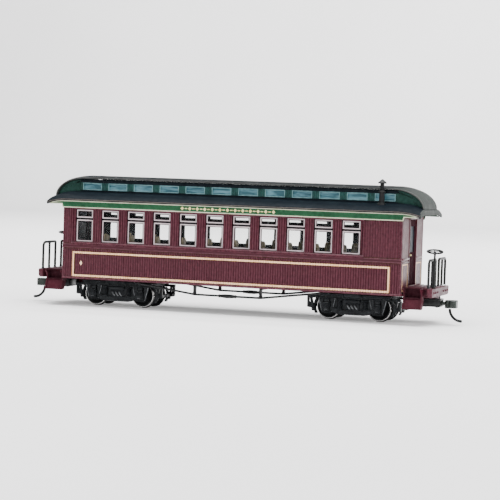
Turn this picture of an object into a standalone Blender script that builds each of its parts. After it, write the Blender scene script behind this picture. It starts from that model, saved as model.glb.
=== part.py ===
"""Narrow-gauge passenger coach, 1:48 scale on 16.5 mm gauge track.

X runs along the coach, Y across it and Z up. The origin is on the ground under
the middle of the coach, at the height of the lowest point of the wheel flanges.
All sizes are in millimetres; the helpers turn them into Blender's metres.
"""

import math

import bmesh
import bpy
from mathutils import Vector

MM = 0.001
GAP = 0.3
FRONT, REAR = 1, -1
LEFT, RIGHT = 1, -1
ENDS = {"front": FRONT, "rear": REAR}
SIDES = {"left": LEFT, "right": RIGHT}

# body shell
BODY_HALF_LENGTH = 100.3
BODY_HALF_WIDTH = 25.2
WALL = 1.4
SILL_Z = 16.1
WALL_TOP_Z = 61.2
BAY = 15.875
WINDOW_BAYS = 11
WINDOW_HALF = 5.2
WINDOW_Z = (37.5, 56.2)
GLAZING = 0.5
DOOR_HALF = 7.9
DOOR_Z = (21.0, 57.6)
DOOR_LIGHT_HALF = 5.0
DOOR_LIGHT_Z = (39.0, 54.0)
LETTERBOARD_Z = (57.0, 61.0)
LETTERBOARD_THICK = 0.6

# roof: a lower deck, window bands and a curved cap
ROOF_HALF_LENGTH = 110.5
ROOF_HALF_WIDTH = 26.9
DECK_THICK = 1.2
EAVE_Z = 62.4
BAND_FOOT_Z = 66.3
BAND_HALF_WIDTH = 14.8
BAND_THICK = 1.0
BAND_TOP_Z = 73.4
BAND_LIGHT_HALF = 5.85
BAND_LIGHT_Z = (67.3, 71.4)
BAYS = 12
DROOP_START = 98.0
DECK_CURVE = 1.6
CAP_HALF_WIDTH = 16.2
CAP_THICK = 1.0
CAP_EDGE_Z = 74.7
CAP_CROWN = 1.0
HOOD_START = 92.0
HOOD_LENGTH = 18.0
HOOD_FOOT_Z = 63.3
HOOD_END_ANGLE = math.radians(85.6)

# chimney of the stove
CHIMNEY_AT = (86.3, -18.0)
CHIMNEY_RADIUS = 1.6

# floor and underframe
FLOOR_Z = (16.2, 18.0)
FLOOR_HALF_WIDTH = 22.4
FLOOR_HALF_LENGTH = 98.6
WEIGHT_TOP_Z = 20.3
SEAT_TOP_Z = 42.2
SEAT_Y = (12.0, 22.0)
TRUSS_Y = 21.5
TRUSS_END_X = 54.5
TRUSS_END_Z = 15.2
TRUSS_LOW_Z = 10.6
TRUSS_RADIUS = 0.6
QUEEN_X = 19.6

# trucks
TRUCK_X = 70.5
HALF_WHEELBASE = 14.55
TREAD_RADIUS = 6.7
FLANGE_RADIUS = 7.4
WHEEL_Y = (7.0, 10.0)
AXLE_RADIUS = 1.1
AXLE_HALF_LENGTH = 12.2
FRAME_Y = (11.2, 12.6)
KING_RADIUS = 2.0
BOLSTER_Z = (9.6, 13.1)

# end platforms and couplers
PLATFORM_X = (100.6, 115.0)
PLATFORM_TOP_Z = 20.7
PLATFORM_HALF_WIDTH = 16.4
BEAM_X = (114.2, 117.0)
BEAM_Z = (15.7, 20.7)
BEAM_HALF_WIDTH = 21.6
STEP_X = (101.2, 111.6)
STEP_Y = (16.8, 24.2)
STEP_Z = (9.2, 20.4)
RAIL_X = 114.6
RAIL_Y = (4.0, 20.8)
RAIL_TOP_Z = 36.2
RAIL_RADIUS = 0.6
STAFF_AT = (116.2, -14.2)
BRAKE_WHEEL_Z = 40.8
BRAKE_WHEEL_RADIUS = 4.7
COUPLER_Z = 11.9
COUPLER_PIVOT_X = 108.5
COUPLER_BOX_X = (104.4, 118.0)
COUPLER_BOX_Z = (9.9, 14.3)
HEAD_X = (120.0, 126.6)
HEAD_Z = (9.4, 13.8)
KNUCKLE_AT = (124.0, -2.3)
TRIP_RADIUS = 0.7

FACING = {
    "XY": (0.0, 0.0, 0.0),
    "XZ": (math.pi / 2, 0.0, 0.0),
    "YZ": (math.pi / 2, 0.0, math.pi / 2),
}
NORMAL = {"XY": Vector((0, 0, 1)), "XZ": Vector((0, 1, 0)), "YZ": Vector((1, 0, 0))}


# ---------------------------------------------------------------- helpers

def clear_scene():
    for obj in list(bpy.data.objects):
        bpy.data.objects.remove(obj, do_unlink=True)


def new_collection(name):
    collection = bpy.data.collections.new(name)
    bpy.context.scene.collection.children.link(collection)
    return collection


def new_material(name, colour, roughness, metallic=0.0):
    material = bpy.data.materials.new(name)
    material.use_nodes = True
    shader = material.node_tree.nodes["Principled BSDF"]
    shader.inputs["Base Color"].default_value = (*colour, 1.0)
    shader.inputs["Roughness"].default_value = roughness
    shader.inputs["Metallic"].default_value = metallic
    return material


def add(name, data, material, location=(0, 0, 0), rotation=(0, 0, 0)):
    obj = bpy.data.objects.new(name, data)
    obj.location = Vector(location) * MM
    obj.rotation_euler = rotation
    data.materials.append(MATERIALS[material])
    PARTS.objects.link(obj)
    return obj


def mesh_from(name, build):
    mesh = bpy.data.meshes.new(name)
    shape = bmesh.new()
    build(shape)
    shape.to_mesh(mesh)
    shape.free()
    return mesh


def box(name, material, low, high):
    corners = [sorted(pair) for pair in zip(low, high)]
    size = Vector([(top - bottom) * MM for bottom, top in corners])
    centre = [(top + bottom) / 2 for bottom, top in corners]

    def build(shape):
        bmesh.ops.create_cube(shape, size=1.0)
        bmesh.ops.scale(shape, vec=size, verts=shape.verts)

    return add(name, mesh_from(name, build), material, centre)


def cylinder(name, material, radius, low, high, at, segments=16):
    def build(shape):
        bmesh.ops.create_cone(shape, cap_ends=True, segments=segments, radius1=radius * MM,
                              radius2=radius * MM, depth=(high - low) * MM)

    obj = add(name, mesh_from(name, build), material, (at[0], at[1], (low + high) / 2))
    soften(obj)
    return obj


def plate(name, material, facing, outline, thickness, offset, holes=()):
    """A flat outline with holes, as thick as stated, offset along its normal."""
    curve = bpy.data.curves.new(name, "CURVE")
    curve.dimensions = "2D"
    curve.fill_mode = "BOTH"
    curve.extrude = thickness * MM / 2
    for loop in (outline, *holes):
        spline = curve.splines.new("POLY")
        spline.points.add(len(loop) - 1)
        spline.use_cyclic_u = True
        for point, (across, up) in zip(spline.points, loop):
            point.co = (across * MM, up * MM, 0.0, 1.0)
    return add(name, curve, material, NORMAL[facing] * offset, FACING[facing])


def tube(name, material, points, radius, swell=None):
    """A round bar through the points; swell gives a factor on the radius at each."""
    curve = bpy.data.curves.new(name, "CURVE")
    curve.dimensions = "3D"
    curve.bevel_depth = radius * MM
    curve.bevel_resolution = 2
    curve.use_fill_caps = True
    spline = curve.splines.new("POLY")
    spline.points.add(len(points) - 1)
    for index, place in enumerate(points):
        spline.points[index].co = (*(Vector(place) * MM), 1.0)
        spline.points[index].radius = swell[index] if swell else 1.0
    return add(name, curve, material)


def turned(name, material, profile, segments, location, rotation=(0, 0, 0), ring=False):
    """A profile of (radius, height) points, top to bottom, turned round its own Z."""

    def build(shape):
        points = [shape.verts.new((radius * MM, 0.0, height * MM)) for radius, height in profile]
        for start, end in zip(points, points[1:]):
            shape.edges.new((start, end))
        if ring:
            shape.edges.new((points[-1], points[0]))

    obj = add(name, mesh_from(name, build), material, location, rotation)
    screw = obj.modifiers.new("turn", "SCREW")
    screw.steps = segments
    screw.render_steps = segments
    screw.use_merge_vertices = True
    screw.merge_threshold = 0.000001
    return obj


def shell(name, material, grid, thickness):
    """An open sheet through a grid of points, thickened inwards."""

    def build(shape):
        rows = [[shape.verts.new(Vector(place) * MM) for place in row] for row in grid]
        for near, far in zip(rows, rows[1:]):
            for column in range(len(near) - 1):
                shape.faces.new((near[column], far[column], far[column + 1], near[column + 1]))

    obj = add(name, mesh_from(name, build), material)
    solid = obj.modifiers.new("thickness", "SOLIDIFY")
    solid.thickness = thickness * MM
    solid.offset = -1.0
    solid.use_even_offset = True
    soften(obj)
    return obj


def soften(obj):
    obj.data.shade_smooth()
    obj.data.set_sharp_from_angle(angle=math.radians(35))


def as_mesh(obj):
    """The same object as a welded mesh, so that it can be cut and joined."""
    if obj.type == "MESH":
        return obj
    bpy.context.view_layer.update()
    solid = obj.evaluated_get(bpy.context.evaluated_depsgraph_get())
    mesh = bpy.data.meshes.new_from_object(solid)
    shape = bmesh.new()
    shape.from_mesh(mesh)
    bmesh.ops.remove_doubles(shape, verts=shape.verts, dist=0.000001)
    shape.to_mesh(mesh)
    shape.free()
    name = obj.name
    place = obj.matrix_world.copy()
    bpy.data.objects.remove(obj, do_unlink=True)
    welded = bpy.data.objects.new(name, mesh)
    welded.matrix_world = place
    PARTS.objects.link(welded)
    return welded


def boolean(target, tools, operation):
    target = as_mesh(target)
    for tool in tools:
        tool = as_mesh(tool)
        PARTS.objects.unlink(tool)
        CUTTERS.objects.link(tool)
        tool.display_type = "WIRE"
        tool.hide_render = True
        modifier = target.modifiers.new(tool.name, "BOOLEAN")
        modifier.operation = operation
        modifier.object = tool
    return target


def joined(target, tools):
    return boolean(target, tools, "UNION")


def cut(target, tools):
    return boolean(target, tools, "DIFFERENCE")


def rectangle(low, high):
    return [(low[0], low[1]), (high[0], low[1]), (high[0], high[1]), (low[0], high[1])]


def mirrored(half):
    """A closed outline from its right half, listed from the bottom to the top."""
    return half + [(-across, up) for across, up in reversed(half)]


def arc(centre, radius, start, end, steps):
    """Points along an arc, angles in degrees."""
    points = []
    for step in range(steps + 1):
        angle = math.radians(start + (end - start) * step / steps)
        points.append((centre[0] + radius * math.cos(angle), centre[1] + radius * math.sin(angle)))
    return points


def pivot(name, location, parts):
    """An empty on a joint's axis that carries the moving parts."""
    empty = bpy.data.objects.new(name, None)
    empty.location = Vector(location) * MM
    empty.empty_display_size = 3 * MM
    PARTS.objects.link(empty)
    bpy.context.view_layer.update()
    for part in parts:
        part.parent = empty
        part.matrix_parent_inverse = empty.matrix_world.inverted()
    return empty


# ---------------------------------------------------------------- roof shape

def droop(along):
    """How far the deck has come down at this distance from the middle, 0 to 1."""
    reach = max(0.0, abs(along) - DROOP_START)
    return (reach / (ROOF_HALF_LENGTH - DROOP_START)) ** 2


def deck_z(along, across):
    """Height of the lower deck's upper surface."""
    rise = (ROOF_HALF_WIDTH - abs(across)) / (ROOF_HALF_WIDTH - BAND_HALF_WIDTH)
    rise = min(max(rise, 0.0), 1.0)
    eave_drop = 2.0
    band_drop = 3.3
    level = EAVE_Z + (BAND_FOOT_Z - EAVE_Z) * (1 - (1 - rise) ** DECK_CURVE)
    return level - droop(along) * (eave_drop + (band_drop - eave_drop) * rise)


def roof_deck():
    columns = [26.9, 25.2, 22.5, 19.0, 14.8]
    columns = columns + [-across for across in reversed(columns)]
    rows = [110.5, 108.2, 105.4, 102.0, 98.0]
    rows = rows + [-along for along in reversed(rows)]
    lip_low = 58.7
    lip_high = 60.0

    def lip(along):
        ends = []
        for across in columns:
            rise = min(1.0, (ROOF_HALF_WIDTH - abs(across)) / 8.0)
            ends.append((along, across, lip_low + (lip_high - lip_low) * rise))
        return ends

    grid = [lip(ROOF_HALF_LENGTH)]
    grid += [[(along, across, deck_z(along, across)) for across in columns] for along in rows]
    grid += [lip(-ROOF_HALF_LENGTH)]
    deck = shell("roof_deck", "roof", grid, DECK_THICK)
    hole = cylinder("chimney_hole", "roof", CHIMNEY_RADIUS + GAP, 55.0, 70.0, CHIMNEY_AT)
    return cut(deck, [hole])


def hood_point(angle, across):
    """A point of the cap over the end of the roof, where it curves down."""
    edge = CAP_EDGE_Z + CAP_CROWN * (1 - (across / CAP_HALF_WIDTH) ** 2)
    along = HOOD_START + HOOD_LENGTH * math.sin(angle)
    return along, HOOD_FOOT_Z + (edge - HOOD_FOOT_Z) * math.cos(angle)


def roof_cap():
    steps = 8
    columns = [CAP_HALF_WIDTH * (1 - column / 3) for column in range(7)]
    angles = [HOOD_END_ANGLE * step / steps for step in range(steps, -1, -1)]
    grid = []
    for end in (FRONT, REAR):
        for angle in angles if end == FRONT else reversed(angles):
            row = []
            for across in columns:
                along, height = hood_point(angle, across)
                row.append((end * along, across, height))
            grid.append(row)
    return shell("roof_cap", "cap", grid, CAP_THICK)


def clerestory_side(name, side):
    """The window band's wall: level in the middle, running out under the hoods."""
    foot = [(along, deck_z(along, BAND_HALF_WIDTH) + GAP) for along in (98.0, 102.0, 105.4, 107.6)]
    top = []
    for step in range(7):
        angle = math.radians(13.5 * step)
        along = HOOD_START + (HOOD_LENGTH - 1.4) * math.sin(angle)
        top.append((along, HOOD_FOOT_Z + (BAND_TOP_Z - HOOD_FOOT_Z) * math.cos(angle)))
    outline = mirrored(foot + list(reversed(top)))
    lights = []
    for bay in range(BAYS):
        middle = (bay - (BAYS - 1) / 2) * BAY
        lights.append(rectangle((middle - BAND_LIGHT_HALF, BAND_LIGHT_Z[0]),
                                (middle + BAND_LIGHT_HALF, BAND_LIGHT_Z[1])))
    offset = side * (BAND_HALF_WIDTH - BAND_THICK / 2)
    return plate(name, "clerestory", "XZ", outline, BAND_THICK, offset, lights)


def clerestory_glazing(name, side):
    inner = BAND_HALF_WIDTH - BAND_THICK - GAP
    return box(name, "tinted_glass", (-93.8, side * (inner - GLAZING), 66.8),
               (93.8, side * inner, 72.0))


def smokejack():
    profile = [
        (0.0, 79.4), (2.4, 77.3), (2.4, 77.0), (1.15, 76.9), (1.15, 72.9), (1.9, 72.6),
        (1.9, 71.9), (CHIMNEY_RADIUS, 71.6), (CHIMNEY_RADIUS, 62.6), (0.0, 62.6),
    ]
    return turned("smokejack", "black_metal", profile, 16, (*CHIMNEY_AT, 0.0))


# ---------------------------------------------------------------- body

def bay_centre(bay):
    return (bay - (BAYS - 1) / 2) * BAY


def side_wall(name, side):
    windows = []
    for bay in range(WINDOW_BAYS):
        middle = bay_centre(bay)
        windows.append(rectangle((middle - WINDOW_HALF, WINDOW_Z[0]),
                                 (middle + WINDOW_HALF, WINDOW_Z[1])))
    outline = rectangle((-BODY_HALF_LENGTH, SILL_Z), (BODY_HALF_LENGTH, WALL_TOP_Z))
    return plate(name, "body", "XZ", outline, WALL, side * (BODY_HALF_WIDTH - WALL / 2), windows)


def window_glazing(name, side):
    outer = BODY_HALF_WIDTH - WALL - GAP
    low = (bay_centre(0) - WINDOW_HALF - 1.2, side * (outer - GLAZING), WINDOW_Z[0] - 0.9)
    high = (bay_centre(WINDOW_BAYS - 1) + WINDOW_HALF + 1.2, side * outer, WINDOW_Z[1] + 0.9)
    return box(name, "clear_glass", low, high)


def letterboard(name, side):
    """The board under the eave; its ends run out under the platform roof."""
    bottom, top = LETTERBOARD_Z
    tail_bottom = 58.7
    half = [(100.9, bottom), (101.4, 59.1), (108.9, tail_bottom)]
    half += [(along, deck_z(along, ROOF_HALF_WIDTH) - DECK_THICK - GAP)
             for along in (108.9, 106.6, 104.0)]
    half += [(100.5, top)]
    offset = side * (BODY_HALF_WIDTH + GAP + LETTERBOARD_THICK / 2)
    return plate(name, "green", "XZ", mirrored(half), LETTERBOARD_THICK, offset)


def end_wall(name, end):
    half_width = BODY_HALF_WIDTH - WALL - GAP
    inner = BODY_HALF_LENGTH - WALL
    crown = []
    for across in (half_width, 20.0, BAND_HALF_WIDTH):
        clear = DECK_THICK + 0.2 + GAP
        crown.append((across, deck_z(BODY_HALF_LENGTH, across) - clear))
    opening = [(DOOR_HALF, DOOR_Z[0]), (DOOR_HALF, DOOR_Z[1])]
    outline = mirrored([(half_width, SILL_Z)] + crown)
    hole = mirrored(opening)
    return plate(name, "body", "YZ", outline, WALL, end * (inner + WALL / 2), [hole])


def end_door(name, end):
    thick = 0.9
    inner = BODY_HALF_LENGTH - WALL
    outline = mirrored([(DOOR_HALF - GAP, DOOR_Z[0] + GAP), (DOOR_HALF - GAP, DOOR_Z[1] - GAP)])
    light = mirrored([(DOOR_LIGHT_HALF, DOOR_LIGHT_Z[0]), (DOOR_LIGHT_HALF, DOOR_LIGHT_Z[1])])
    return plate(name, "body", "YZ", outline, thick, end * (inner + thick / 2), [light])


def seat_row(name, side):
    """Eleven two-person seats on one moulded strip, seen from the side as a comb."""
    low = WEIGHT_TOP_Z + GAP
    strip = low + 1.0
    cushion = 29.0
    outline = [(-87.0, low), (87.5, low), (87.5, strip)]
    for seat in range(WINDOW_BAYS - 1, -1, -1):
        back = (seat - (WINDOW_BAYS - 1) / 2) * BAY
        outline += [
            (back + 7.4, strip), (back + 7.9, cushion), (back + 1.1, cushion),
            (back + 0.9, SEAT_TOP_Z - 0.6),
            (back + 0.3, SEAT_TOP_Z), (back - 0.9, SEAT_TOP_Z), (back - 1.5, SEAT_TOP_Z - 0.6),
            (back - 1.2, strip),
        ]
    outline += [(-87.0, strip)]
    return plate(name, "seat", "XZ", outline, SEAT_Y[1] - SEAT_Y[0], side * sum(SEAT_Y) / 2)


# ---------------------------------------------------------------- underframe

def underframe():
    low, high = FLOOR_Z
    floor = box("underframe", "underframe", (-FLOOR_HALF_LENGTH, -FLOOR_HALF_WIDTH, low),
                (FLOOR_HALF_LENGTH, FLOOR_HALF_WIDTH, high))
    extras = []
    for end in (FRONT, REAR):
        near = end * (TRUCK_X - 3.6)
        far = end * (TRUCK_X + 3.6)
        extras.append(box("body_bolster", "underframe", (near, -21.0, 15.1),
                          (far, 21.0, low + 0.5)))
        extras.append(cylinder("king_post", "underframe", KING_RADIUS, 8.6, low + 0.6,
                               (end * TRUCK_X, 0.0)))
    return joined(floor, extras)


def ballast_weight():
    return box("ballast_weight", "steel", (-88.0, -21.0, FLOOR_Z[1] + GAP),
               (88.0, 21.0, WEIGHT_TOP_Z))


def truss_rod(name, side):
    """A bar from bolster to bolster over the two queen posts, with a turnbuckle."""
    half = [(1.4, TRUSS_LOW_Z, 1.8), (3.8, TRUSS_LOW_Z, 1.3), (4.0, TRUSS_LOW_Z, 1.0),
            (QUEEN_X, TRUSS_LOW_Z, 1.0), (TRUSS_END_X, TRUSS_END_Z, 1.0)]
    whole = [(-along, height, factor) for along, height, factor in reversed(half)] + half
    points = [(along, side * TRUSS_Y, height) for along, height, factor in whole]
    return tube(name, "black_metal", points, TRUSS_RADIUS,
                [factor for along, height, factor in whole])


def queen_post_beam(name, end):
    top = FLOOR_Z[0] - GAP
    beam = 15.1
    foot = TRUSS_LOW_Z + TRUSS_RADIUS + GAP
    half = [(TRUSS_Y - 0.8, foot), (TRUSS_Y + 0.8, foot), (TRUSS_Y + 0.8, top)]
    inner = [(-TRUSS_Y + 0.8, beam), (TRUSS_Y - 0.8, beam)]
    outline = inner + half + [(-across, up) for across, up in reversed(half)]
    return plate(name, "black_metal", "YZ", outline, 1.6, end * QUEEN_X)


# ---------------------------------------------------------------- trucks

def truck_side(side, truck_x):
    """One side of a truck: web, top beam, equaliser, axle boxes and springs."""
    centre = sum(FRAME_Y) / 2
    web_half = [(8.6, 4.6), (11.2, 4.3), (18.2, 5.6), (18.2, 12.8)]
    web = plate("truck_web", "truck", "XZ", [(truck_x + a, b) for a, b in mirrored(web_half)],
                FRAME_Y[1] - FRAME_Y[0], side * centre)
    beam = box("truck_beam", "truck", (truck_x - 21.6, side * 11.6, 12.4),
               (truck_x + 21.6, side * 14.2, 14.8))
    bar_half = [(7.6, 3.3), (11.2, 4.4), (13.0, 6.0), (12.2, 7.6), (10.0, 7.2), (7.2, 6.8)]
    bar = plate("truck_equaliser", "truck", "XZ", [(truck_x + a, b) for a, b in mirrored(bar_half)],
                1.6, side * 13.1)
    pieces = [beam, bar]
    for axle in (-HALF_WHEELBASE, HALF_WHEELBASE):
        middle = truck_x + axle
        pieces.append(box("axle_box", "truck", (middle - 2.3, side * 12.2, 4.8),
                          (middle + 2.3, side * 15.8, 10.4)))
        pieces.append(box("pedestal", "truck", (middle - 3.6, side * 12.2, 6.2),
                          (middle + 3.6, side * 13.8, 12.8)))
    for spring in (-7.2, 7.2):
        pieces.append(cylinder("coil_spring", "truck", 1.7, 5.0, 12.6,
                               (truck_x + spring, side * 13.3), 10))
    pieces.append(box("leaf_spring", "truck", (truck_x - 4.2, side * 12.2, 7.4),
                      (truck_x + 4.2, side * 14.4, 10.2)))
    hanger_x = (23.0, 26.6)
    for reach in (-1, 1):
        near = truck_x + reach * 19.0
        pieces.append(box("frame_horn", "truck", (near, side * 10.4, 11.6),
                          (truck_x + reach * 26.4, side * 12.0, 13.2)))
        pieces.append(box("brake_hanger", "truck", (truck_x + reach * hanger_x[0], side * 6.8, 5.0),
                          (truck_x + reach * hanger_x[1], side * 10.8, 12.8)))
    return web, pieces


def truck_frame(name, end):
    truck_x = end * TRUCK_X
    bolster = box(name, "truck", (truck_x - 3.6, -11.6, BOLSTER_Z[0]),
                  (truck_x + 3.6, 11.6, BOLSTER_Z[1]))
    pieces = []
    for side in (LEFT, RIGHT):
        web, details = truck_side(side, truck_x)
        pieces += [web] + details
    for reach in (-1, 1):
        middle = truck_x + reach * 24.8
        pieces.append(box("brake_beam", "truck", (middle - 1.0, -7.2, 6.4),
                          (middle + 1.0, 7.2, 8.2)))
    frame = joined(bolster, pieces)
    holes = [cylinder("king_hole", "truck", KING_RADIUS + GAP, 5.0, 15.5, (truck_x, 0.0))]
    for axle in (-HALF_WHEELBASE, HALF_WHEELBASE):
        holes.append(turned("bearing_hole", "truck", axle_profile(GAP), 12,
                            (truck_x + axle, 0.0, FLANGE_RADIUS), (-math.pi / 2, 0.0, 0.0)))
    return cut(frame, holes)


def axle_profile(allowance):
    """Half-lengths and radii of an axle with tapered ends, plus an allowance."""
    tip = AXLE_HALF_LENGTH + allowance
    root = 10.6 + allowance
    radius = AXLE_RADIUS + allowance
    point = 0.5 + allowance
    return [(0.0, tip), (point, tip), (radius, root), (radius, -root), (point, -tip), (0.0, -tip)]


def wheel(name, location, side):
    inner, outer = WHEEL_Y
    bore = AXLE_RADIUS + GAP
    profile = [
        (bore, outer + 0.2), (2.3, outer - 0.6), (5.3, outer - 0.6), (5.7, outer),
        (TREAD_RADIUS, outer),
        (TREAD_RADIUS, inner + 1.1), (FLANGE_RADIUS, inner + 0.7), (FLANGE_RADIUS, inner),
        (bore, inner),
    ]
    return turned(name, "wheel", profile, 24, location, (-side * math.pi / 2, 0.0, 0.0), ring=True)


def wheelset(number, end, reach):
    place = (end * TRUCK_X + reach * HALF_WHEELBASE, 0.0, FLANGE_RADIUS)
    parts = [turned(f"axle_{number}", "steel", axle_profile(0.0), 12, place,
                    (-math.pi / 2, 0.0, 0.0))]
    for side_name, side in SIDES.items():
        parts.append(wheel(f"wheel_{number}_{side_name}", place, side))
    return pivot(f"wheelset_{number}_axis", place, parts)


def truck(end_name, end):
    frame = truck_frame(f"truck_frame_{end_name}", end)
    swivel = pivot(f"truck_{end_name}_swivel", (end * TRUCK_X, 0.0, BOLSTER_Z[1]), [frame])
    first = 1 if end == FRONT else 3
    for offset, reach in enumerate((1, -1)):
        axis = wheelset(first + offset, end, end * reach)
        axis.parent = swivel
        axis.matrix_parent_inverse = swivel.matrix_world.inverted()


# ---------------------------------------------------------------- ends

def end_platform(name, end):
    low, high = PLATFORM_X
    deck = box(name, "body", (end * low, -PLATFORM_HALF_WIDTH, 19.4),
               (end * high, PLATFORM_HALF_WIDTH, PLATFORM_TOP_Z))
    sill = box("draft_sill", "body", (end * low, -6.0, COUPLER_BOX_Z[1] + GAP),
               (end * high, 6.0, 19.8))
    corner = 2.2
    half = arc((BEAM_HALF_WIDTH - corner, BEAM_Z[0] + corner), corner, -90, 0, 3)
    half.append((BEAM_HALF_WIDTH, BEAM_Z[1]))
    beam = plate("end_beam", "body", "YZ", mirrored(half), BEAM_X[1] - BEAM_X[0],
                 end * sum(BEAM_X) / 2)
    return joined(deck, [sill, beam])


def steps(name, end, side):
    """A box of two treads between two side plates, open at the front."""
    inner, outer = STEP_Y
    bottom, top = STEP_Z
    cheek = 0.8
    outline = [(inner, 14.2), (19.6, bottom), (outer, bottom), (outer, 10.0), (22.4, 14.4),
               (21.8, 16.6),
               (22.6, 18.6), (outer, 19.8), (outer, top), (inner, top)]
    block = plate(name, "body", "YZ", [(side * a, b) for a, b in outline], STEP_X[1] - STEP_X[0],
                  end * sum(STEP_X) / 2)
    lip = 0.9
    room = [(outer + 2.0, bottom + lip), (23.3, bottom + lip), (21.3, 14.6), (21.3, 15.4),
            (18.3, 15.4),
            (18.3, top + 2.0), (outer + 2.0, top + 2.0)]
    inside = STEP_X[1] - STEP_X[0] - 2 * cheek
    well = plate("step_well", "body", "YZ", [(side * a, b) for a, b in room], inside,
                 end * sum(STEP_X) / 2)
    return cut(block, [well])


def railing(name, end, side):
    """Half of the end rail: a bent bar with a post at each end, and one between."""
    inner, outer = RAIL_Y
    foot = PLATFORM_TOP_Z + GAP
    bend = 2.6
    path = [(inner, foot), (inner, RAIL_TOP_Z - 0.8), (inner + 0.8, RAIL_TOP_Z)]
    path += arc((outer - bend, RAIL_TOP_Z - bend), bend, 90, 0, 4) + [(outer, foot)]
    bar = tube(name, "black_metal", [(end * RAIL_X, side * a, b) for a, b in path], RAIL_RADIUS)
    middle = (inner + outer) / 2
    post = tube("rail_post", "black_metal",
                [(end * RAIL_X, side * middle, foot),
                 (end * RAIL_X, side * middle, RAIL_TOP_Z - 0.1)], RAIL_RADIUS)
    return joined(bar, [post])


def brake_wheel(name, end):
    place = (end * STAFF_AT[0], end * STAFF_AT[1])
    foot = PLATFORM_TOP_Z + GAP
    staff = cylinder(name, "black_metal", 0.45, foot, BRAKE_WHEEL_Z + 0.5, place, 10)
    section = arc((BRAKE_WHEEL_RADIUS - 0.4, 0.0), 0.42, 90, -210, 5)
    rim = turned("brake_rim", "black_metal", section, 20, (*place, BRAKE_WHEEL_Z), ring=True)
    spokes = []
    for axis in ("x", "y"):
        reach = (3.9, 0.3) if axis == "x" else (0.3, 3.9)
        spokes.append(box("brake_spoke", "black_metal",
                          (place[0] - reach[0], place[1] - reach[1], BRAKE_WHEEL_Z - 0.25),
                          (place[0] + reach[0], place[1] + reach[1], BRAKE_WHEEL_Z + 0.25)))
    wheel_part = joined(staff, [rim] + spokes)
    return pivot(f"{name}_axis", (*place, foot), [wheel_part])


def coupler(end_name, end):
    box_low, box_high = COUPLER_BOX_X
    z_low, z_high = COUPLER_BOX_Z
    wall = 0.9
    housing = box(f"coupler_box_{end_name}", "black_metal", (end * box_low, -5.0, z_low),
                  (end * box_high, 5.0, z_high))
    cavity = box("coupler_cavity", "black_metal", (end * (box_low + wall), -4.0, z_low + wall),
                 (end * (box_high + 1.0), 4.0, z_high - wall))
    pin = cylinder("coupler_pin", "black_metal", 0.9, z_low + 0.4, z_high - 0.4,
                   (end * COUPLER_PIVOT_X, 0.0), 12)
    joined(cut(housing, [cavity]), [pin])

    eye = arc((COUPLER_PIVOT_X, 0.0), 2.2, 45, 315, 9)
    shank = eye + [(HEAD_X[0] + 1.0, -1.5), (HEAD_X[0] + 1.0, 1.5)]
    hole = arc((COUPLER_PIVOT_X, 0.0), 0.9 + GAP, 0, 324, 9)
    body = plate(f"coupler_body_{end_name}", "coupler", "XY",
                 [(end * a, end * b) for a, b in shank], 1.8,
                 COUPLER_Z, [[(end * a, end * b) for a, b in hole]])
    head_low, head_high = HEAD_X
    head = [(head_low, -1.8), (head_low + 1.2, -3.2), (122.4, -3.2), (122.4, 0.2), (124.6, 1.2),
            (head_high - 0.2, 2.0), (head_high - 0.2, 3.4), (head_low + 1.6, 3.0), (head_low, 1.8)]
    guard = plate("coupler_head", "coupler", "XY", [(end * a, end * b) for a, b in head],
                  HEAD_Z[1] - HEAD_Z[0],
                  sum(HEAD_Z) / 2)
    body = joined(body, [guard])

    jaw = arc((KNUCKLE_AT[0] - 0.1, KNUCKLE_AT[1]), 1.1, 90, 270, 4)
    jaw += [(126.0, -3.4), (head_high, -2.6), (head_high, 0.0), (125.9, 0.6), (125.3, -0.2),
            (125.0, -1.2)]
    knuckle = plate(f"knuckle_{end_name}", "coupler", "XY", [(end * a, end * b) for a, b in jaw],
                    HEAD_Z[1] - HEAD_Z[0] - 0.4, sum(HEAD_Z) / 2)
    swing = arc((129.2, HEAD_Z[0] - 0.4), 6.6, 180, 276, 8)
    trip = tube(f"trip_pin_{end_name}", "black_metal", [(end * a, 0.0, b) for a, b in swing],
                TRIP_RADIUS)

    joint = pivot(f"coupler_{end_name}_pivot", (end * COUPLER_PIVOT_X, 0.0, COUPLER_Z),
                  [body, trip])
    hinge = pivot(f"knuckle_{end_name}_pivot",
                  (end * KNUCKLE_AT[0], end * KNUCKLE_AT[1], COUPLER_Z), [knuckle])
    hinge.parent = joint
    hinge.matrix_parent_inverse = joint.matrix_world.inverted()


# ---------------------------------------------------------------- assembly

clear_scene()
PARTS = new_collection("passenger_coach")
CUTTERS = new_collection("cutters")
MATERIALS = {
    "body": new_material("maroon plastic", (0.10, 0.022, 0.035), 0.45),
    "green": new_material("green plastic", (0.025, 0.11, 0.055), 0.4),
    "roof": new_material("blue black plastic", (0.012, 0.018, 0.022), 0.35),
    "cap": new_material("dark grey plastic", (0.03, 0.034, 0.035), 0.4),
    "clerestory": new_material("dark green plastic", (0.012, 0.045, 0.038), 0.4),
    "tinted_glass": new_material("tinted window", (0.10, 0.22, 0.25), 0.2),
    "clear_glass": new_material("clear window", (0.8, 0.82, 0.82), 0.05),
    "seat": new_material("olive plastic", (0.20, 0.17, 0.08), 0.5),
    "underframe": new_material("black plastic", (0.012, 0.012, 0.013), 0.5),
    "truck": new_material("black truck plastic", (0.014, 0.015, 0.016), 0.45),
    "black_metal": new_material("blackened metal", (0.01, 0.01, 0.011), 0.4, 0.5),
    "coupler": new_material("black coupler metal", (0.014, 0.014, 0.014), 0.4, 0.3),
    "steel": new_material("steel", (0.45, 0.45, 0.46), 0.35, 1.0),
    "wheel": new_material("nickel-plated wheel", (0.5, 0.5, 0.52), 0.3, 1.0),
}

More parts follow.
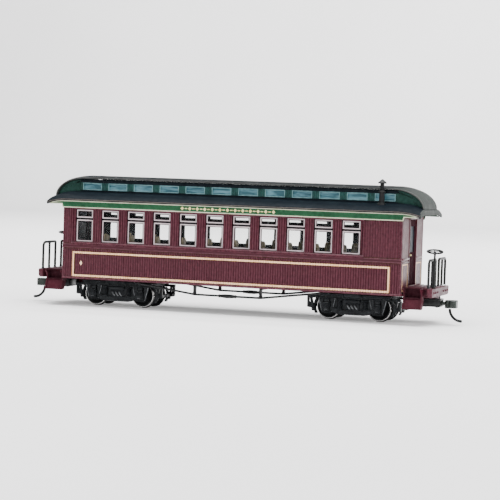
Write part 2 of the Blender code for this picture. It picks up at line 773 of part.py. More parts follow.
roof_deck()
roof_cap()
smokejack()
underframe()
ballast_weight()
for side_label, side_sign in SIDES.items():
    side_wall(f"side_wall_{side_label}", side_sign)
    window_glazing(f"window_glazing_{side_label}", side_sign)
    letterboard(f"letterboard_{side_label}", side_sign)
    clerestory_side(f"clerestory_side_{side_label}", side_sign)
    clerestory_glazing(f"clerestory_glazing_{side_label}", side_sign)
    seat_row(f"seat_row_{side_label}", side_sign)
    truss_rod(f"truss_rod_{side_label}", side_sign)
for end_label, end_sign in ENDS.items():
    end_wall(f"end_wall_{end_label}", end_sign)
    end_door(f"end_door_{end_label}", end_sign)
    queen_post_beam(f"queen_post_beam_{end_label}", end_sign)
    end_platform(f"end_platform_{end_label}", end_sign)
    brake_wheel(f"brake_wheel_{end_label}", end_sign)
    coupler(end_label, end_sign)
    truck(end_label, end_sign)
    for side_label, side_sign in SIDES.items():
        steps(f"steps_{end_label}_{side_label}", end_sign, side_sign)
        railing(f"railing_{end_label}_{side_label}", end_sign, side_sign)
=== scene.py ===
"""Looks of the model passenger coach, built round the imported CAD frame.

Lengths are millimetres here, and make() scales each finished mesh to Blender's metres.
X runs along the coach, Y across it and Z up from the ground. FRONT is +X and LEFT is +Y.
"""
import math

import bmesh
import bpy
from mathutils import Matrix, Vector


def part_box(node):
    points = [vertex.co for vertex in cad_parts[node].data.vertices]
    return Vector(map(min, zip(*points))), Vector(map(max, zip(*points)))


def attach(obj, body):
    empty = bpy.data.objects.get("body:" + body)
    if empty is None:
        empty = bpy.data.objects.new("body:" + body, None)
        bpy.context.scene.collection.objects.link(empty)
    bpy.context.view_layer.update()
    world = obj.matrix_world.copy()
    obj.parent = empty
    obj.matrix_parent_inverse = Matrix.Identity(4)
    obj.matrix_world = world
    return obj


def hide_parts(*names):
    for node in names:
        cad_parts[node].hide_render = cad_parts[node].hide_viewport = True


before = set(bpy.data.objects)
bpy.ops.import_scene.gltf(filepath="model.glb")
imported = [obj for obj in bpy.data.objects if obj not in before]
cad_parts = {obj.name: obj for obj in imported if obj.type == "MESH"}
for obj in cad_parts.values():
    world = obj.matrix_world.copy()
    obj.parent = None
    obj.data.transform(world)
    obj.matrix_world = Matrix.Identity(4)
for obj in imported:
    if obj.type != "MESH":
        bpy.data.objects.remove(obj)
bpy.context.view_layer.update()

MM = 0.001
FRONT, REAR = 1, -1
LEFT, RIGHT = 1, -1
BOTH = (-1, 1)
ENDS = {"front": FRONT, "rear": REAR}
SIDES = {"left": LEFT, "right": RIGHT}
COACH = "coach_body"
SHARP_ANGLE = math.radians(32.0)


def span(node):
    """Lowest and highest corner of a CAD node, in millimetres."""
    low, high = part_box(node)
    return low / MM, high / MM


# body, read from the frame
wall_low, wall_high = span("side_wall_left")
BODY_X = wall_high.x
WALL_Y = wall_high.y
WALL_INNER_Y = wall_low.y
SILL_Z = wall_low.z
WALL_TOP_Z = wall_high.z
HEAD_Z = 57.4
BAY = 15.875
BAYS = 12
WINDOW_BAYS = 11
WINDOW_HALF = 5.55
WINDOW_Z = (37.5, 56.2)
MEETING_Z = (50.2, 51.4)
BOARD = BAY / 11
GROOVE = 0.5
BELT_Z = (33.9, 36.2)
PANEL_X = (-94.6, 78.7)
SASH_BAR = 0.60
SASH_GAP = 0.60
SASH_LIFT = 0.30
STRIPE_X = 93.5
STRIPE_Z = (18.1, 31.3)
STRIPE_WIDTH = 1.05
KEYLINE = 0.42
DOOR_HALF = 7.9
DOOR_Z = (21.0, 57.6)
DOOR_LIGHT_HALF = 5.0
DOOR_LIGHT_Z = (39.0, 54.0)
board_low, board_high = span("letterboard_left")
LETTER_Y = (board_low.y, board_high.y)
LETTER_Z = (57.0, 61.0)

# roof, read from the frame
deck_high = span("roof_deck")[1]
ROOF_X = deck_high.x
ROOF_Y = deck_high.y
EAVE_Z = 62.4
BAND_FOOT_Z = 66.3
DECK_THICK = 1.2
DROOP_START = 98.0
EAVE_DROP = 2.0
BAND_DROP = 3.3
DECK_CURVE = 1.6
band_low, band_high = span("clerestory_side_left")
BAND_Y = (band_low.y, band_high.y)
BAND_TOP_Z = 73.4
BAND_LIGHT_HALF = 5.85
BAND_LIGHT_Z = (67.3, 71.4)
CAP_Y = 16.2
CAP_EDGE_Z = 74.7
CAP_CROWN = 1.0
CAP_THICK = 1.0
HOOD_START = 92.0
HOOD_LENGTH = 18.0
HOOD_FOOT_Z = 63.3
HOOD_END = math.radians(85.6)
HOOD_STEPS = 22

# running gear and ends
TRUCK_X = 70.5
HALF_WHEELBASE = 14.55
AXLE_Z = 7.4
TREAD = 6.7
FLANGE = 7.4
QUEEN_X = 19.6
TRUSS_Y = 21.5
BEAM_INNER_X = 114.2
COUPLER_PIVOT_X = 108.5


# ---------------------------------------------------------------- shapes

PLACE = {
    "XY": lambda a, b, offset: (a, b, offset),
    "XZ": lambda a, b, offset: (a, offset, b),
    "YZ": lambda a, b, offset: (offset, a, b),
}
AXIS_TURN = {
    "Z": Matrix.Identity(3),
    "Y": Matrix.Rotation(-math.pi / 2, 3, "X"),
    "X": Matrix.Rotation(math.pi / 2, 3, "Y"),
}


class Kit:
    """Adds closed solids to a mesh, mirrored in X by end and in Y by side, then shifted in X."""

    def __init__(self, mesh, end=1, side=1, shift=0.0):
        self.mesh = mesh
        self.end = end
        self.side = side
        self.shift = shift

    def facing(self, end=None, side=None, shift=None):
        """The same mesh with another mirroring or shift."""
        new_shift = self.shift if shift is None else shift
        return Kit(self.mesh, end or self.end, side or self.side, new_shift)

    def plain(self):
        return Kit(self.mesh)

    def ends(self):
        return [self.facing(end=end) for end in BOTH]

    def sides(self):
        return [self.facing(side=side) for side in BOTH]

    def at(self, x, y, z):
        return self.shift + self.end * x, self.side * y, z

    def loft(self, rings, closed=False):
        """A solid through rings of points; when closed, the last ring meets the first."""
        loops = [[self.mesh.verts.new(self.at(*point)) for point in ring] for ring in rings]
        pairs = list(zip(loops, loops[1:]))
        if closed:
            pairs.append((loops[-1], loops[0]))
        count = len(loops[0])
        for near, far in pairs:
            for index in range(count):
                after = (index + 1) % count
                self.mesh.faces.new((near[index], near[after], far[after], far[index]))
        if not closed:
            self.mesh.faces.new(list(reversed(loops[0])))
            self.mesh.faces.new(loops[-1])

    def prism(self, facing, outline, near, far):
        """A flat outline in the named plane, solid from near to far along its normal."""
        put = PLACE[facing]
        self.loft([[put(a, b, offset) for a, b in outline] for offset in (near, far)])

    def box(self, x, y, z, edge=0.0, rounds=2):
        """A box between pairs of limits, with rounded edges."""
        limits = [sorted(pair) for pair in zip(self.at(x[0], y[0], z[0]), self.at(x[1], y[1], z[1]))]
        size = [top - bottom for bottom, top in limits]
        centre = [(top + bottom) / 2 for bottom, top in limits]
        place = Matrix.Translation(centre) @ Matrix.Diagonal((*size, 1.0))
        made = bmesh.ops.create_cube(self.mesh, size=1.0, matrix=place)
        if edge > 0:
            edges = {line for corner in made["verts"] for line in corner.link_edges}
            width = min(edge, 0.45 * min(size))
            bmesh.ops.bevel(self.mesh, geom=list(edges), offset=width, segments=rounds, profile=0.5,
                            affect="EDGES")

    def tube(self, points, radius, sides=12, factors=None, flat=1.0):
        """A bar of round or flattened section through the points."""
        route = [Vector(self.at(*point)) for point in points]
        rings = []
        across = None
        for index, point in enumerate(route):
            before = route[max(index - 1, 0)]
            after = route[min(index + 1, len(route) - 1)]
            along = (after - before).normalized()
            if across is None:
                guide = Vector((0, 0, 1)) if abs(along.z) < 0.9 else Vector((1, 0, 0))
                across = along.cross(guide).normalized()
            else:
                across = (across - along * across.dot(along)).normalized()
            up = along.cross(across)
            size = radius * (factors[index] if factors else 1.0)
            ring = []
            for step in range(sides):
                angle = 2 * math.pi * step / sides
                ring.append(point + across * size * math.cos(angle) + up * size * flat * math.sin(angle))
            rings.append(ring)
        self.plain().loft(rings)

    def lathe(self, profile, at, axis="Z", segments=24, sense=1):
        """A solid turned from (radius, height) points; profiles on the axis close there."""
        turn = AXIS_TURN[axis]
        sense *= {"X": self.end, "Y": self.side, "Z": 1}[axis]
        centre = Vector(self.at(*at))
        rings = []
        for step in range(segments):
            angle = 2 * math.pi * step / segments
            ring = []
            for radius, height in profile:
                local = Vector((radius * math.cos(angle), radius * math.sin(angle), sense * height))
                ring.append(centre + turn @ local)
            rings.append(ring)
        before = set(self.mesh.verts)
        self.plain().loft(rings, closed=True)
        fresh = [vert for vert in self.mesh.verts if vert not in before]
        bmesh.ops.remove_doubles(self.mesh, verts=fresh, dist=0.0005)

    def disc(self, at, radius, height, axis="Z", segments=16, sense=1, dome=0.0):
        """A short round stud with a slightly domed face."""
        edge = min(0.25 * height, 0.3 * radius)
        profile = [(0.0, 0.0), (radius, 0.0), (radius, height - edge), (radius - edge, height),
                   (0.0, height + dome)]
        self.lathe(profile, at, axis, segments, sense)

    def frame_bars(self, facing, low, high, width, near, far):
        """A rectangular frame: one closed ring of the given bar width."""
        put = PLACE[facing]
        rings = []
        for right, top in ((0, 0), (1, 0), (1, 1), (0, 1)):
            outer = ((low[0], high[0])[right], (low[1], high[1])[top])
            inner = (outer[0] + width * (1 - 2 * right), outer[1] + width * (1 - 2 * top))
            rings.append([put(*outer, near), put(*outer, far), put(*inner, far), put(*inner, near)])
        self.loft(rings, closed=True)

    def plate_stack(self, outline, levels):
        """An outline solid through several heights, each with its own shrink."""
        middle = sum((Vector(point) for point in outline), Vector((0, 0))) / len(outline)
        rings = []
        for height, shrink in levels:
            ring = []
            for point in outline:
                spoke = Vector(point) - middle
                ring.append((*(middle + spoke * (1 - shrink / max(spoke.length, 0.5))), height))
            rings.append(ring)
        self.loft(rings)


def mirrored(half):
    """A closed outline from its right half, listed from the bottom to the top."""
    return half + [(-across, up) for across, up in reversed(half)]


def polar(centre, radius, degrees):
    angle = math.radians(degrees)
    return centre[0] + radius * math.cos(angle), centre[1] + radius * math.sin(angle)


def arc(centre, radius, start, end, steps):
    """Points along an arc, angles in degrees."""
    return [polar(centre, radius, start + (end - start) * step / steps) for step in range(steps + 1)]


def ribbon(line, width):
    """The outline of a band of this width on the left of a line of points."""
    inner = []
    for index, point in enumerate(line):
        here = Vector(point)
        before = (here - Vector(line[index - 1])).normalized() if index else None
        after = (Vector(line[index + 1]) - here).normalized() if index < len(line) - 1 else None
        along = (before or after) + (after or before)
        along.normalize()
        normal = Vector((-along.y, along.x))
        straight = Vector((-(before or after).y, (before or after).x))
        reach = width / max(0.4, normal.dot(straight))
        inner.append(tuple(here + normal * reach))
    return list(line) + list(reversed(inner))


def rounded(outline, amount, steps=3):
    """A closed outline with each corner cut by a small curve."""
    points = []
    count = len(outline)
    for index in range(count):
        corner = Vector(outline[index])
        before = Vector(outline[index - 1]) - corner
        after = Vector(outline[(index + 1) % count]) - corner
        reach = min(amount, 0.45 * before.length, 0.45 * after.length)
        start = corner + before.normalized() * reach
        finish = corner + after.normalized() * reach
        for step in range(steps + 1):
            share = step / steps
            points.append(tuple(start.lerp(corner, share).lerp(corner.lerp(finish, share), share)))
    return points


def listed(value):
    return value if isinstance(value, list) else [value]


def make(name, builds, material, slot=None, node=None, body=COACH, end=1, side=1, shift=0.0, choose=None):
    """A piece whose closed solids are added by builds, riding on a body in a CAD node's place.

    With several materials, choose gives a face's one from its centre and normal, which it
    gets unmirrored and unshifted.
    """
    shape = bmesh.new()
    kit = Kit(shape, end, side, shift)
    for build in listed(builds):
        build(kit)
    bmesh.ops.recalc_face_normals(shape, faces=shape.faces)
    bmesh.ops.scale(shape, vec=(MM, MM, MM), verts=shape.verts)
    mesh = bpy.data.meshes.new(name)
    shape.to_mesh(mesh)
    shape.free()
    for one in listed(material):
        mesh.materials.append(one)
    if choose:
        signs = Vector((end, side, 1))
        for face in mesh.polygons:
            centre = (face.center / MM - Vector((shift, 0, 0))) * signs
            face.material_index = choose(centre, face.normal * signs)
    mesh.shade_smooth()
    mesh.set_sharp_from_angle(angle=SHARP_ANGLE)
    piece = bpy.data.objects.new(name, mesh)
    bpy.context.scene.collection.objects.link(piece)
    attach(piece, body)
    if node:
        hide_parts(node)
    return piece


# ---------------------------------------------------------------- materials

class Finish:
    """A Principled material whose nodes are added step by step."""

    def __init__(self, name, roughness, metallic=0.0, specular=0.5, coat=0.0):
        self.material = bpy.data.materials.new(name)
        self.material.use_nodes = True
        self.tree = self.material.node_tree
        self.shader = self.tree.nodes["Principled BSDF"]
        self.shader.inputs["Roughness"].default_value = roughness
        self.shader.inputs["Metallic"].default_value = metallic
        self.shader.inputs["Specular IOR Level"].default_value = specular
        self.shader.inputs["Coat Weight"].default_value = coat
        self.shader.inputs["Coat Roughness"].default_value = 0.12
        self.place = self.tree.nodes.new("ShaderNodeTexCoord").outputs["Object"]

    def node(self, kind, **inputs):
        made = self.tree.nodes.new(kind)
        for name, value in inputs.items():
            self.feed(made.inputs[name.replace("_", " ")], value)
        return made

    def feed(self, socket, value):
        if isinstance(value, bpy.types.NodeSocket):
            self.tree.links.new(value, socket)
        else:
            socket.default_value = value

    def noise(self, per_mm, detail=3.0, stretch=(1.0, 1.0, 1.0), rough=0.55):
        scale = self.node("ShaderNodeVectorMath", Vector=self.place)
        scale.operation = "MULTIPLY"
        scale.inputs[1].default_value = [per_mm * 1000.0 * part for part in stretch]
        made = self.node("ShaderNodeTexNoise", Vector=scale.outputs[0], Detail=detail, Scale=1.0,
                         Roughness=rough)
        return made.outputs["Fac"]

    def ramp(self, value, low, high, start=0.35, end=0.65):
        made = self.node("ShaderNodeMapRange", Value=value)
        for index, number in zip((1, 2, 3, 4), (start, end, low, high)):
            made.inputs[index].default_value = number
        return made.outputs[0]

    def math(self, operation, *values):
        made = self.tree.nodes.new("ShaderNodeMath")
        made.operation = operation
        for index, value in enumerate(values):
            self.feed(made.inputs[index], value)
        return made.outputs[0]

    def blend(self, factor, first, second):
        made = self.tree.nodes.new("ShaderNodeMix")
        made.data_type = "RGBA"
        for index, value in zip((0, 6, 7), (factor, first, second)):
            self.feed(made.inputs[index], (*value, 1.0) if isinstance(value, tuple) else value)
        return made.outputs[2]

    def pointed(self, low, high, start, end):
        """A ramp of how far the surface sticks out: under 0.5 in grooves, over it on edges."""
        point = self.tree.nodes.new("ShaderNodeNewGeometry").outputs["Pointiness"]
        return self.ramp(point, low, high, start, end)

    def towards_ends(self, start, end):
        """0 up to a distance from the coach's middle, in millimetres, and 1 beyond another."""
        apart = self.node("ShaderNodeSeparateXYZ", Vector=self.place)
        return self.ramp(self.math("ABSOLUTE", apart.outputs["X"]), 0.0, 1.0, start * MM, end * MM)

    def bump(self, height, depth, strength=0.5):
        made = self.node("ShaderNodeBump", Height=height)
        made.inputs["Strength"].default_value = strength
        made.inputs["Distance"].default_value = depth * MM
        self.tree.links.new(made.outputs[0], self.shader.inputs["Normal"])

    def colour(self, value):
        self.feed(self.shader.inputs["Base Color"], value)

    def rough(self, value):
        self.feed(self.shader.inputs["Roughness"], value)


def moulded(name, colour, light, dark, roughness, grain=3.0, depth=0.012, coat=0.0, specular=0.5,
            metallic=0.0, edge_wear_and_highlight=0.35, stretch=(1.0, 1.0, 1.0), rim=None, ends=None):
    """Painted or moulded plastic: mottled colour, fine grain, edges lightened as wear and, with a rim
    colour, as a painted highlight, and grooves darkened as painted shade.
    """
    made = Finish(name, roughness, metallic, specular, coat)
    spread = 0.08
    cloud = made.noise(0.09, 4.0, stretch)
    fine = made.noise(grain, 3.0, (1.0, 1.0, 1.0), 0.6)
    base = made.blend(made.ramp(cloud, 0.0, 0.75), colour, light)
    # A given ends colour lightens the finish towards the coach's ends: painted light on the hoods and
    # fascias.
    if ends:
        base = made.blend(made.towards_ends(HOOD_START - 2.0, HOOD_START + 13.0), base, ends)
    base = made.blend(made.ramp(fine, 0.0, 0.22, 0.4, 0.75), base, dark)
    # Edges lighten towards the rim colour: wear, and where a rim colour is given, a painted highlight along
    # the edges.
    edges = made.pointed(0.0, 1.0, 0.52, 0.60)
    worn = made.math("MULTIPLY", edges, made.ramp(made.noise(0.6, 4.0), 0.0, edge_wear_and_highlight, 0.35, 0.7))
    base = made.blend(worn, base, rim or tuple(min(1.0, part * 2.2 + 0.02) for part in light))
    # Painted shade: hollows and grooves darken towards the dark colour.
    made.colour(made.blend(made.pointed(1.0, 0.0, 0.40, 0.49), base, dark))
    made.rough(made.ramp(made.noise(0.25, 3.0), roughness - spread, roughness + spread, 0.3, 0.7))
    made.bump(fine, depth)
    return made.material


def glazing(name, colour, streak, alpha, roughness, specular=0.5):
    """Clear or tinted sheet with faint streaks and smudges."""
    made = Finish(name, roughness, specular=specular)
    streaks = made.noise(0.16, 3.0, (0.5, 1.0, 3.0))
    made.colour(made.blend(made.ramp(streaks, 0.0, 1.0, 0.42, 0.62), colour, streak))
    made.rough(made.ramp(made.noise(0.7, 4.0), roughness, roughness + 0.12, 0.45, 0.75))
    made.shader.inputs["Alpha"].default_value = alpha
    made.bump(made.noise(0.5, 2.0), 0.01, 0.3)
    return made.material


# each finish has its main colour, a lighter one for patches and edges, and a dark one for the grain and for
# painted shade in grooves
# Body maroon: its rim colour and strong edge lightening paint highlights along the board edges.
MAROON = moulded("maroon_plastic", (0.043, 0.0076, 0.0135), (0.058, 0.0110, 0.0192),
                 (0.007, 0.0014, 0.0024), 0.42, specular=0.18, edge_wear_and_highlight=0.7, rim=(0.115, 0.032, 0.047),
                 stretch=(1.0, 1.0, 0.25))
# End-wall maroon: lighter and glossier than the side maroon; the lighter colour paints the light falling on
# the ends.
END_MAROON = moulded("maroon_gloss_lit", (0.055, 0.0085, 0.0140), (0.072, 0.0125, 0.020),
                     (0.014, 0.0025, 0.004), 0.36, specular=0.42, coat=0.1)
# Painted shade: a darker maroon for the recessed doors and for the insides of the step wells.
SHADED_MAROON = moulded("maroon_shaded", (0.020, 0.0042, 0.0072), (0.028, 0.0062, 0.010),
                      (0.006, 0.0015, 0.002), 0.8, specular=0.03)
STEP_MAROON = moulded("maroon_steps", (0.040, 0.0058, 0.0115), (0.052, 0.0088, 0.0155),
                      (0.006, 0.0015, 0.0025), 0.45, specular=0.08, edge_wear_and_highlight=0.15)
# Painted shade: near black for inner faces, the backs of the sashes, the gaps round them and the glazing
# beads.
SHADE = moulded("painted_shade_black", (0.006, 0.005, 0.0055), (0.010, 0.008, 0.009), (0.002, 0.002, 0.002),
                0.6, specular=0.1)
GREEN = moulded("green_paint", (0.0055, 0.040, 0.016), (0.012, 0.064, 0.026), (0.003, 0.018, 0.008),
                0.42, grain=1.4, specular=0.12)
CREAM = moulded("cream_lining", (0.80, 0.46, 0.24), (0.92, 0.62, 0.38), (0.50, 0.26, 0.12), 0.5,
                grain=2.2, edge_wear_and_highlight=0.2, specular=0.15)
LINING = moulded("pale_green_lining", (0.40, 0.43, 0.27), (0.60, 0.60, 0.44), (0.18, 0.22, 0.12), 0.45,
                 grain=2.2, edge_wear_and_highlight=0.2, specular=0.3)
GOLD = moulded("gold_ornament", (0.60, 0.50, 0.16), (0.76, 0.68, 0.32), (0.26, 0.21, 0.06), 0.42,
               grain=2.4, edge_wear_and_highlight=0.3, specular=0.3)
# Brown for the stripe keylines, and as painted shade for the thin lines at the wall's foot and round the
# belt.
BROWN = moulded("keyline_and_shade_brown", (0.030, 0.011, 0.006), (0.048, 0.019, 0.010), (0.010, 0.004, 0.002),
                0.55, specular=0.1)
SASH = moulded("sash_paint", (0.44, 0.35, 0.37), (0.60, 0.50, 0.52), (0.14, 0.10, 0.11), 0.42,
               grain=2.4, edge_wear_and_highlight=0.2, specular=0.25)
ROOF = moulded("roof_blue_black", (0.0042, 0.0070, 0.0100), (0.0065, 0.0105, 0.0140),
               (0.0020, 0.0034, 0.0050), 0.55, grain=2.0, depth=0.015, specular=0.03)
# Roof cap: it lightens towards the hood ends and fascias as painted light.
CAP = moulded("roof_dark_grey", (0.0062, 0.0070, 0.0074), (0.0105, 0.0120, 0.0125),
              (0.0030, 0.0034, 0.0036), 0.6, grain=1.5, depth=0.03, specular=0.08,
              ends=(0.050, 0.055, 0.052))
# Eave bead: a light brownish grey, far lighter than the roof, that paints the highlight along the eave.
EAVE = moulded("eave_lip_highlight", (0.050, 0.043, 0.038), (0.080, 0.070, 0.062), (0.018, 0.015, 0.013), 0.45,
               specular=0.2)
# Cap edge bead: it lightens towards the hood ends as a painted highlight.
CAP_EDGE = moulded("cap_edge_grey", (0.024, 0.026, 0.026), (0.040, 0.042, 0.042), (0.010, 0.011, 0.011),
                   0.5, specular=0.1, ends=(0.070, 0.072, 0.068))
CLERESTORY = moulded("clerestory_green", (0.0052, 0.037, 0.035), (0.010, 0.060, 0.051),
                     (0.002, 0.012, 0.011), 0.4, grain=1.6, specular=0.18)
CLERESTORY_END = moulded("clerestory_end_green", (0.0042, 0.024, 0.0185), (0.0072, 0.037, 0.028),
                         (0.0015, 0.008, 0.006), 0.45, grain=1.6, specular=0.12)
TEAL = moulded("light_frame_teal", (0.085, 0.200, 0.215), (0.15, 0.29, 0.31), (0.02, 0.07, 0.08), 0.4,
               grain=2.4, specular=0.25)
BLACK = moulded("satin_black", (0.0040, 0.0043, 0.0046), (0.0080, 0.0085, 0.0090),
                (0.0015, 0.0015, 0.0018), 0.34, specular=0.18, edge_wear_and_highlight=0.5)
# Truck black: its rim colour paints highlights along the casting edges.
TRUCK = moulded("truck_black", (0.0026, 0.0033, 0.0041), (0.0056, 0.0068, 0.0082),
                (0.0008, 0.0010, 0.0013), 0.36, specular=0.12, edge_wear_and_highlight=0.6, rim=(0.035, 0.039, 0.043))
# Painted highlight: light grey for the spring clips and the thin rims laid on the truck castings where they
# catch the light.
HIGHLIGHT_GREY = moulded("highlight_grey", (0.060, 0.065, 0.070), (0.12, 0.125, 0.13), (0.02, 0.022, 0.024), 0.32,
                 metallic=0.5, edge_wear_and_highlight=0.6)
COUPLER = moulded("blackened_zinc", (0.0075, 0.0105, 0.0085), (0.015, 0.020, 0.017),
                  (0.003, 0.004, 0.003), 0.36, metallic=0.3, edge_wear_and_highlight=0.8, specular=0.3)
UNDERFRAME = moulded("floor_black", (0.0040, 0.0042, 0.0046), (0.0075, 0.0080, 0.0084),
                     (0.002, 0.002, 0.002), 0.6, specular=0.1)
OLIVE = moulded("olive_seat", (0.58, 0.47, 0.27), (0.70, 0.59, 0.36), (0.30, 0.23, 0.11), 0.5,
                grain=2.0, specular=0.3)
STEEL = moulded("dark_ballast", (0.050, 0.050, 0.052), (0.085, 0.085, 0.088), (0.02, 0.02, 0.02), 0.4,
                metallic=0.6, edge_wear_and_highlight=0.3)
AXLE_STEEL = moulded("turned_axle", (0.16, 0.16, 0.165), (0.26, 0.26, 0.265), (0.07, 0.07, 0.07), 0.3,
                     metallic=0.9, edge_wear_and_highlight=0.3)
NICKEL = moulded("nickel_tread", (0.58, 0.57, 0.56), (0.72, 0.71, 0.70), (0.30, 0.29, 0.28), 0.24,
                 metallic=1.0, edge_wear_and_highlight=0.3)
WHEEL_FACE = moulded("blackened_wheel", (0.0050, 0.0056, 0.0062), (0.0100, 0.0112, 0.0120),
                     (0.002, 0.002, 0.002), 0.4, metallic=0.2, edge_wear_and_highlight=0.5, specular=0.15)
CLEAR_GLASS = glazing("clear_glazing", (0.06, 0.065, 0.07), (0.16, 0.17, 0.18), 0.05, 0.08)
TINTED_GLASS = glazing("tinted_glazing", (0.034, 0.125, 0.160), (0.15, 0.36, 0.43), 0.90, 0.16)
# Painted shade: dark, nearly opaque glass in the door lights paints the shaded inside behind them.
DOOR_GLASS = glazing("door_glazing", (0.022, 0.027, 0.034), (0.034, 0.042, 0.053), 0.92, 0.4,
                     specular=0.08)

KEPT_NODES = {
    "underframe": UNDERFRAME, "ballast_weight": STEEL,
    "window_glazing_left": CLEAR_GLASS, "window_glazing_right": CLEAR_GLASS,
    "clerestory_glazing_left": TINTED_GLASS, "clerestory_glazing_right": TINTED_GLASS,
}
for node, material in KEPT_NODES.items():
    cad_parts[node].data.materials.clear()
    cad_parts[node].data.materials.append(material)


# ---------------------------------------------------------------- side walls

def bay_centre(bay):
    return (bay - (BAYS - 1) / 2) * BAY


def boarding(kit, along, heights, back, face):
    """A strip of vertical beaded boards between limits along and up."""
    low, high = along
    points = [(low, back), (low, face)]
    for index in range(math.floor(low / BOARD), math.ceil(high / BOARD)):
        for share, depth in ((0.0, GROOVE), (0.3, 0.0), (0.7, 0.0)):
            place = (index + share) * BOARD
            if low + 0.02 < place < high - 0.02:
                points.append((place, face - depth))
    kit.prism("XY", points + [(high, face), (high, back)], *heights)


def side_wall(kit):
    core = WALL_Y - 0.45
    behind = core - 0.1
    post_face = WALL_Y + 0.05
    thick = (WALL_INNER_Y, core)
    wide = BODY_X
    edges = [-wide]
    for bay in range(WINDOW_BAYS):
        edges += [bay_centre(bay) - WINDOW_HALF, bay_centre(bay) + WINDOW_HALF]
    edges.append(wide)
    low_z, high_z = WINDOW_Z
    kit.box((-wide, wide), thick, (SILL_Z, low_z))
    kit.box((-wide, wide), thick, (high_z, WALL_TOP_Z))
    for start, end in zip(edges[::2], edges[1::2]):
        kit.box((start, end), thick, (low_z, high_z))
        if start > PANEL_X[0] - 1 and end < PANEL_X[1] + 6:
            boarding(kit, (start + 0.35, end - 0.35), (low_z - 0.3, HEAD_Z), behind, post_face)
            for across in (start, end - 0.4):
                kit.box((across, across + 0.4), (behind, WALL_Y + 0.12), (low_z, high_z), 0.08)
    corner = wide - 0.05
    upper = (BELT_Z[1] - 0.1, HEAD_Z)
    boarding(kit, (-corner, corner), (SILL_Z + 0.7, BELT_Z[0] + 0.2), behind, WALL_Y)
    boarding(kit, (-corner, PANEL_X[0]), upper, behind, WALL_Y - 0.1)
    boarding(kit, (PANEL_X[1], corner), upper, behind, WALL_Y - 0.1)
    for limits in ((PANEL_X[0] + 0.6, edges[1] - 0.05), (edges[-2] + 0.4, PANEL_X[1] - 0.6)):
        boarding(kit, limits, (low_z - 0.3, HEAD_Z), behind, post_face)
    for across in PANEL_X:
        kit.box((across - 0.35, across + 0.35), (behind, WALL_Y + 0.18), (BELT_Z[1], HEAD_Z), 0.12)
    for part in kit.ends():
        part.box((wide - 0.9, wide), (behind, WALL_Y + 0.08), (SILL_Z, HEAD_Z), 0.15)


def side_mouldings(kit):
    """The ledge under the windows, the belt, the head rail and the bottom rail."""
    back = -0.5
    whole = (-BODY_X + 0.02, BODY_X - 0.02)
    low, high = BELT_Z
    ledge = [(back, 36.25), (0.25, 36.25), (0.62, 36.55), (0.62, 36.85), (0.2, 37.35), (back, 37.4)]
    belt = [(back, low), (0.38, low), (0.46, low + 0.2), (0.30, low + 0.55), (0.10, low + 0.7),
            (0.10, high - 0.75), (0.34, high - 0.55), (0.40, high - 0.25), (0.22, high), (back, high)]
    head = [(back, 56.25), (0.12, 56.25), (0.22, 56.45), (0.22, 57.5), (back, 57.5)]
    foot = [(back, SILL_Z), (0.14, SILL_Z), (0.24, SILL_Z + 0.2), (0.2, SILL_Z + 0.8),
            (-0.02, SILL_Z + 1.05), (back, SILL_Z + 1.05)]
    ledge_run = (PANEL_X[0] - 0.3, PANEL_X[1] + 0.3)
    for run, profile in ((ledge_run, ledge), (whole, belt), (PANEL_X, head), (whole, foot)):
        kit.prism("YZ", [(WALL_Y + proud, height) for proud, height in profile], *run)


def stripe(kit, grow, proud):
    """A painted rectangle that follows the boards."""
    half = STRIPE_WIDTH / 2 + grow
    faces = (WALL_Y - 0.5, WALL_Y + proud)
    reach = STRIPE_X + half
    for height in STRIPE_Z:
        boarding(kit, (-reach, reach), (height - half, height + half), *faces)
    for middle in (-STRIPE_X, STRIPE_X):
        boarding(kit, (middle - half, middle + half), (STRIPE_Z[0] + half, STRIPE_Z[1] - half), *faces)


def shade_lines(kit):
    """Thin dark lines of painted shade along the wall's foot and above and below the belt."""
    for height in (SILL_Z + 0.15, BELT_Z[0] - 0.42, BELT_Z[1] + 0.12):
        kit.box((-BODY_X + 0.3, BODY_X - 0.3), (WALL_Y - 0.3, WALL_Y + 0.06), (height, height + 0.3), 0.05)


def lozenge(kit, centre, wide, high, near, far):
    """A small diamond on the side."""
    across, up = centre
    outline = [(across - wide / 2, up), (across, up - high / 2), (across + wide / 2, up),
               (across, up + high / 2)]
    kit.prism("XZ", outline, near, far)


def side_lozenge(kit):
    lozenge(kit, (-88.6, 25.3), 1.7, 2.9, WALL_Y - 0.1, WALL_Y + 0.12)


def sash_frames():
    """Low and high corners of every sash, with the depth of its face."""
    for bay in range(WINDOW_BAYS):
        left = bay_centre(bay) - WINDOW_HALF + SASH_GAP
        right = bay_centre(bay) + WINDOW_HALF - SASH_GAP
        yield (left, MEETING_Z[1]), (right, WINDOW_Z[1] - SASH_LIFT), WALL_Y - 1.0
        yield (left, WINDOW_Z[0] + SASH_LIFT), (right, MEETING_Z[0]), WALL_Y - 1.25


def sashes(kit):
    """An upper and a lower sash in each window."""
    for low, high, face in sash_frames():
        kit.frame_bars("XZ", low, high, SASH_BAR, face - 0.42, face)


def glazing_beads(kit):
    """A bead round the glass of each sash, dark as painted shade."""
    inset = SASH_BAR - 0.05
    for low, high, face in sash_frames():
        kit.frame_bars("XZ", (low[0] + inset, low[1] + inset), (high[0] - inset, high[1] - inset), 0.42,
                       face - 0.43, face - 0.12)


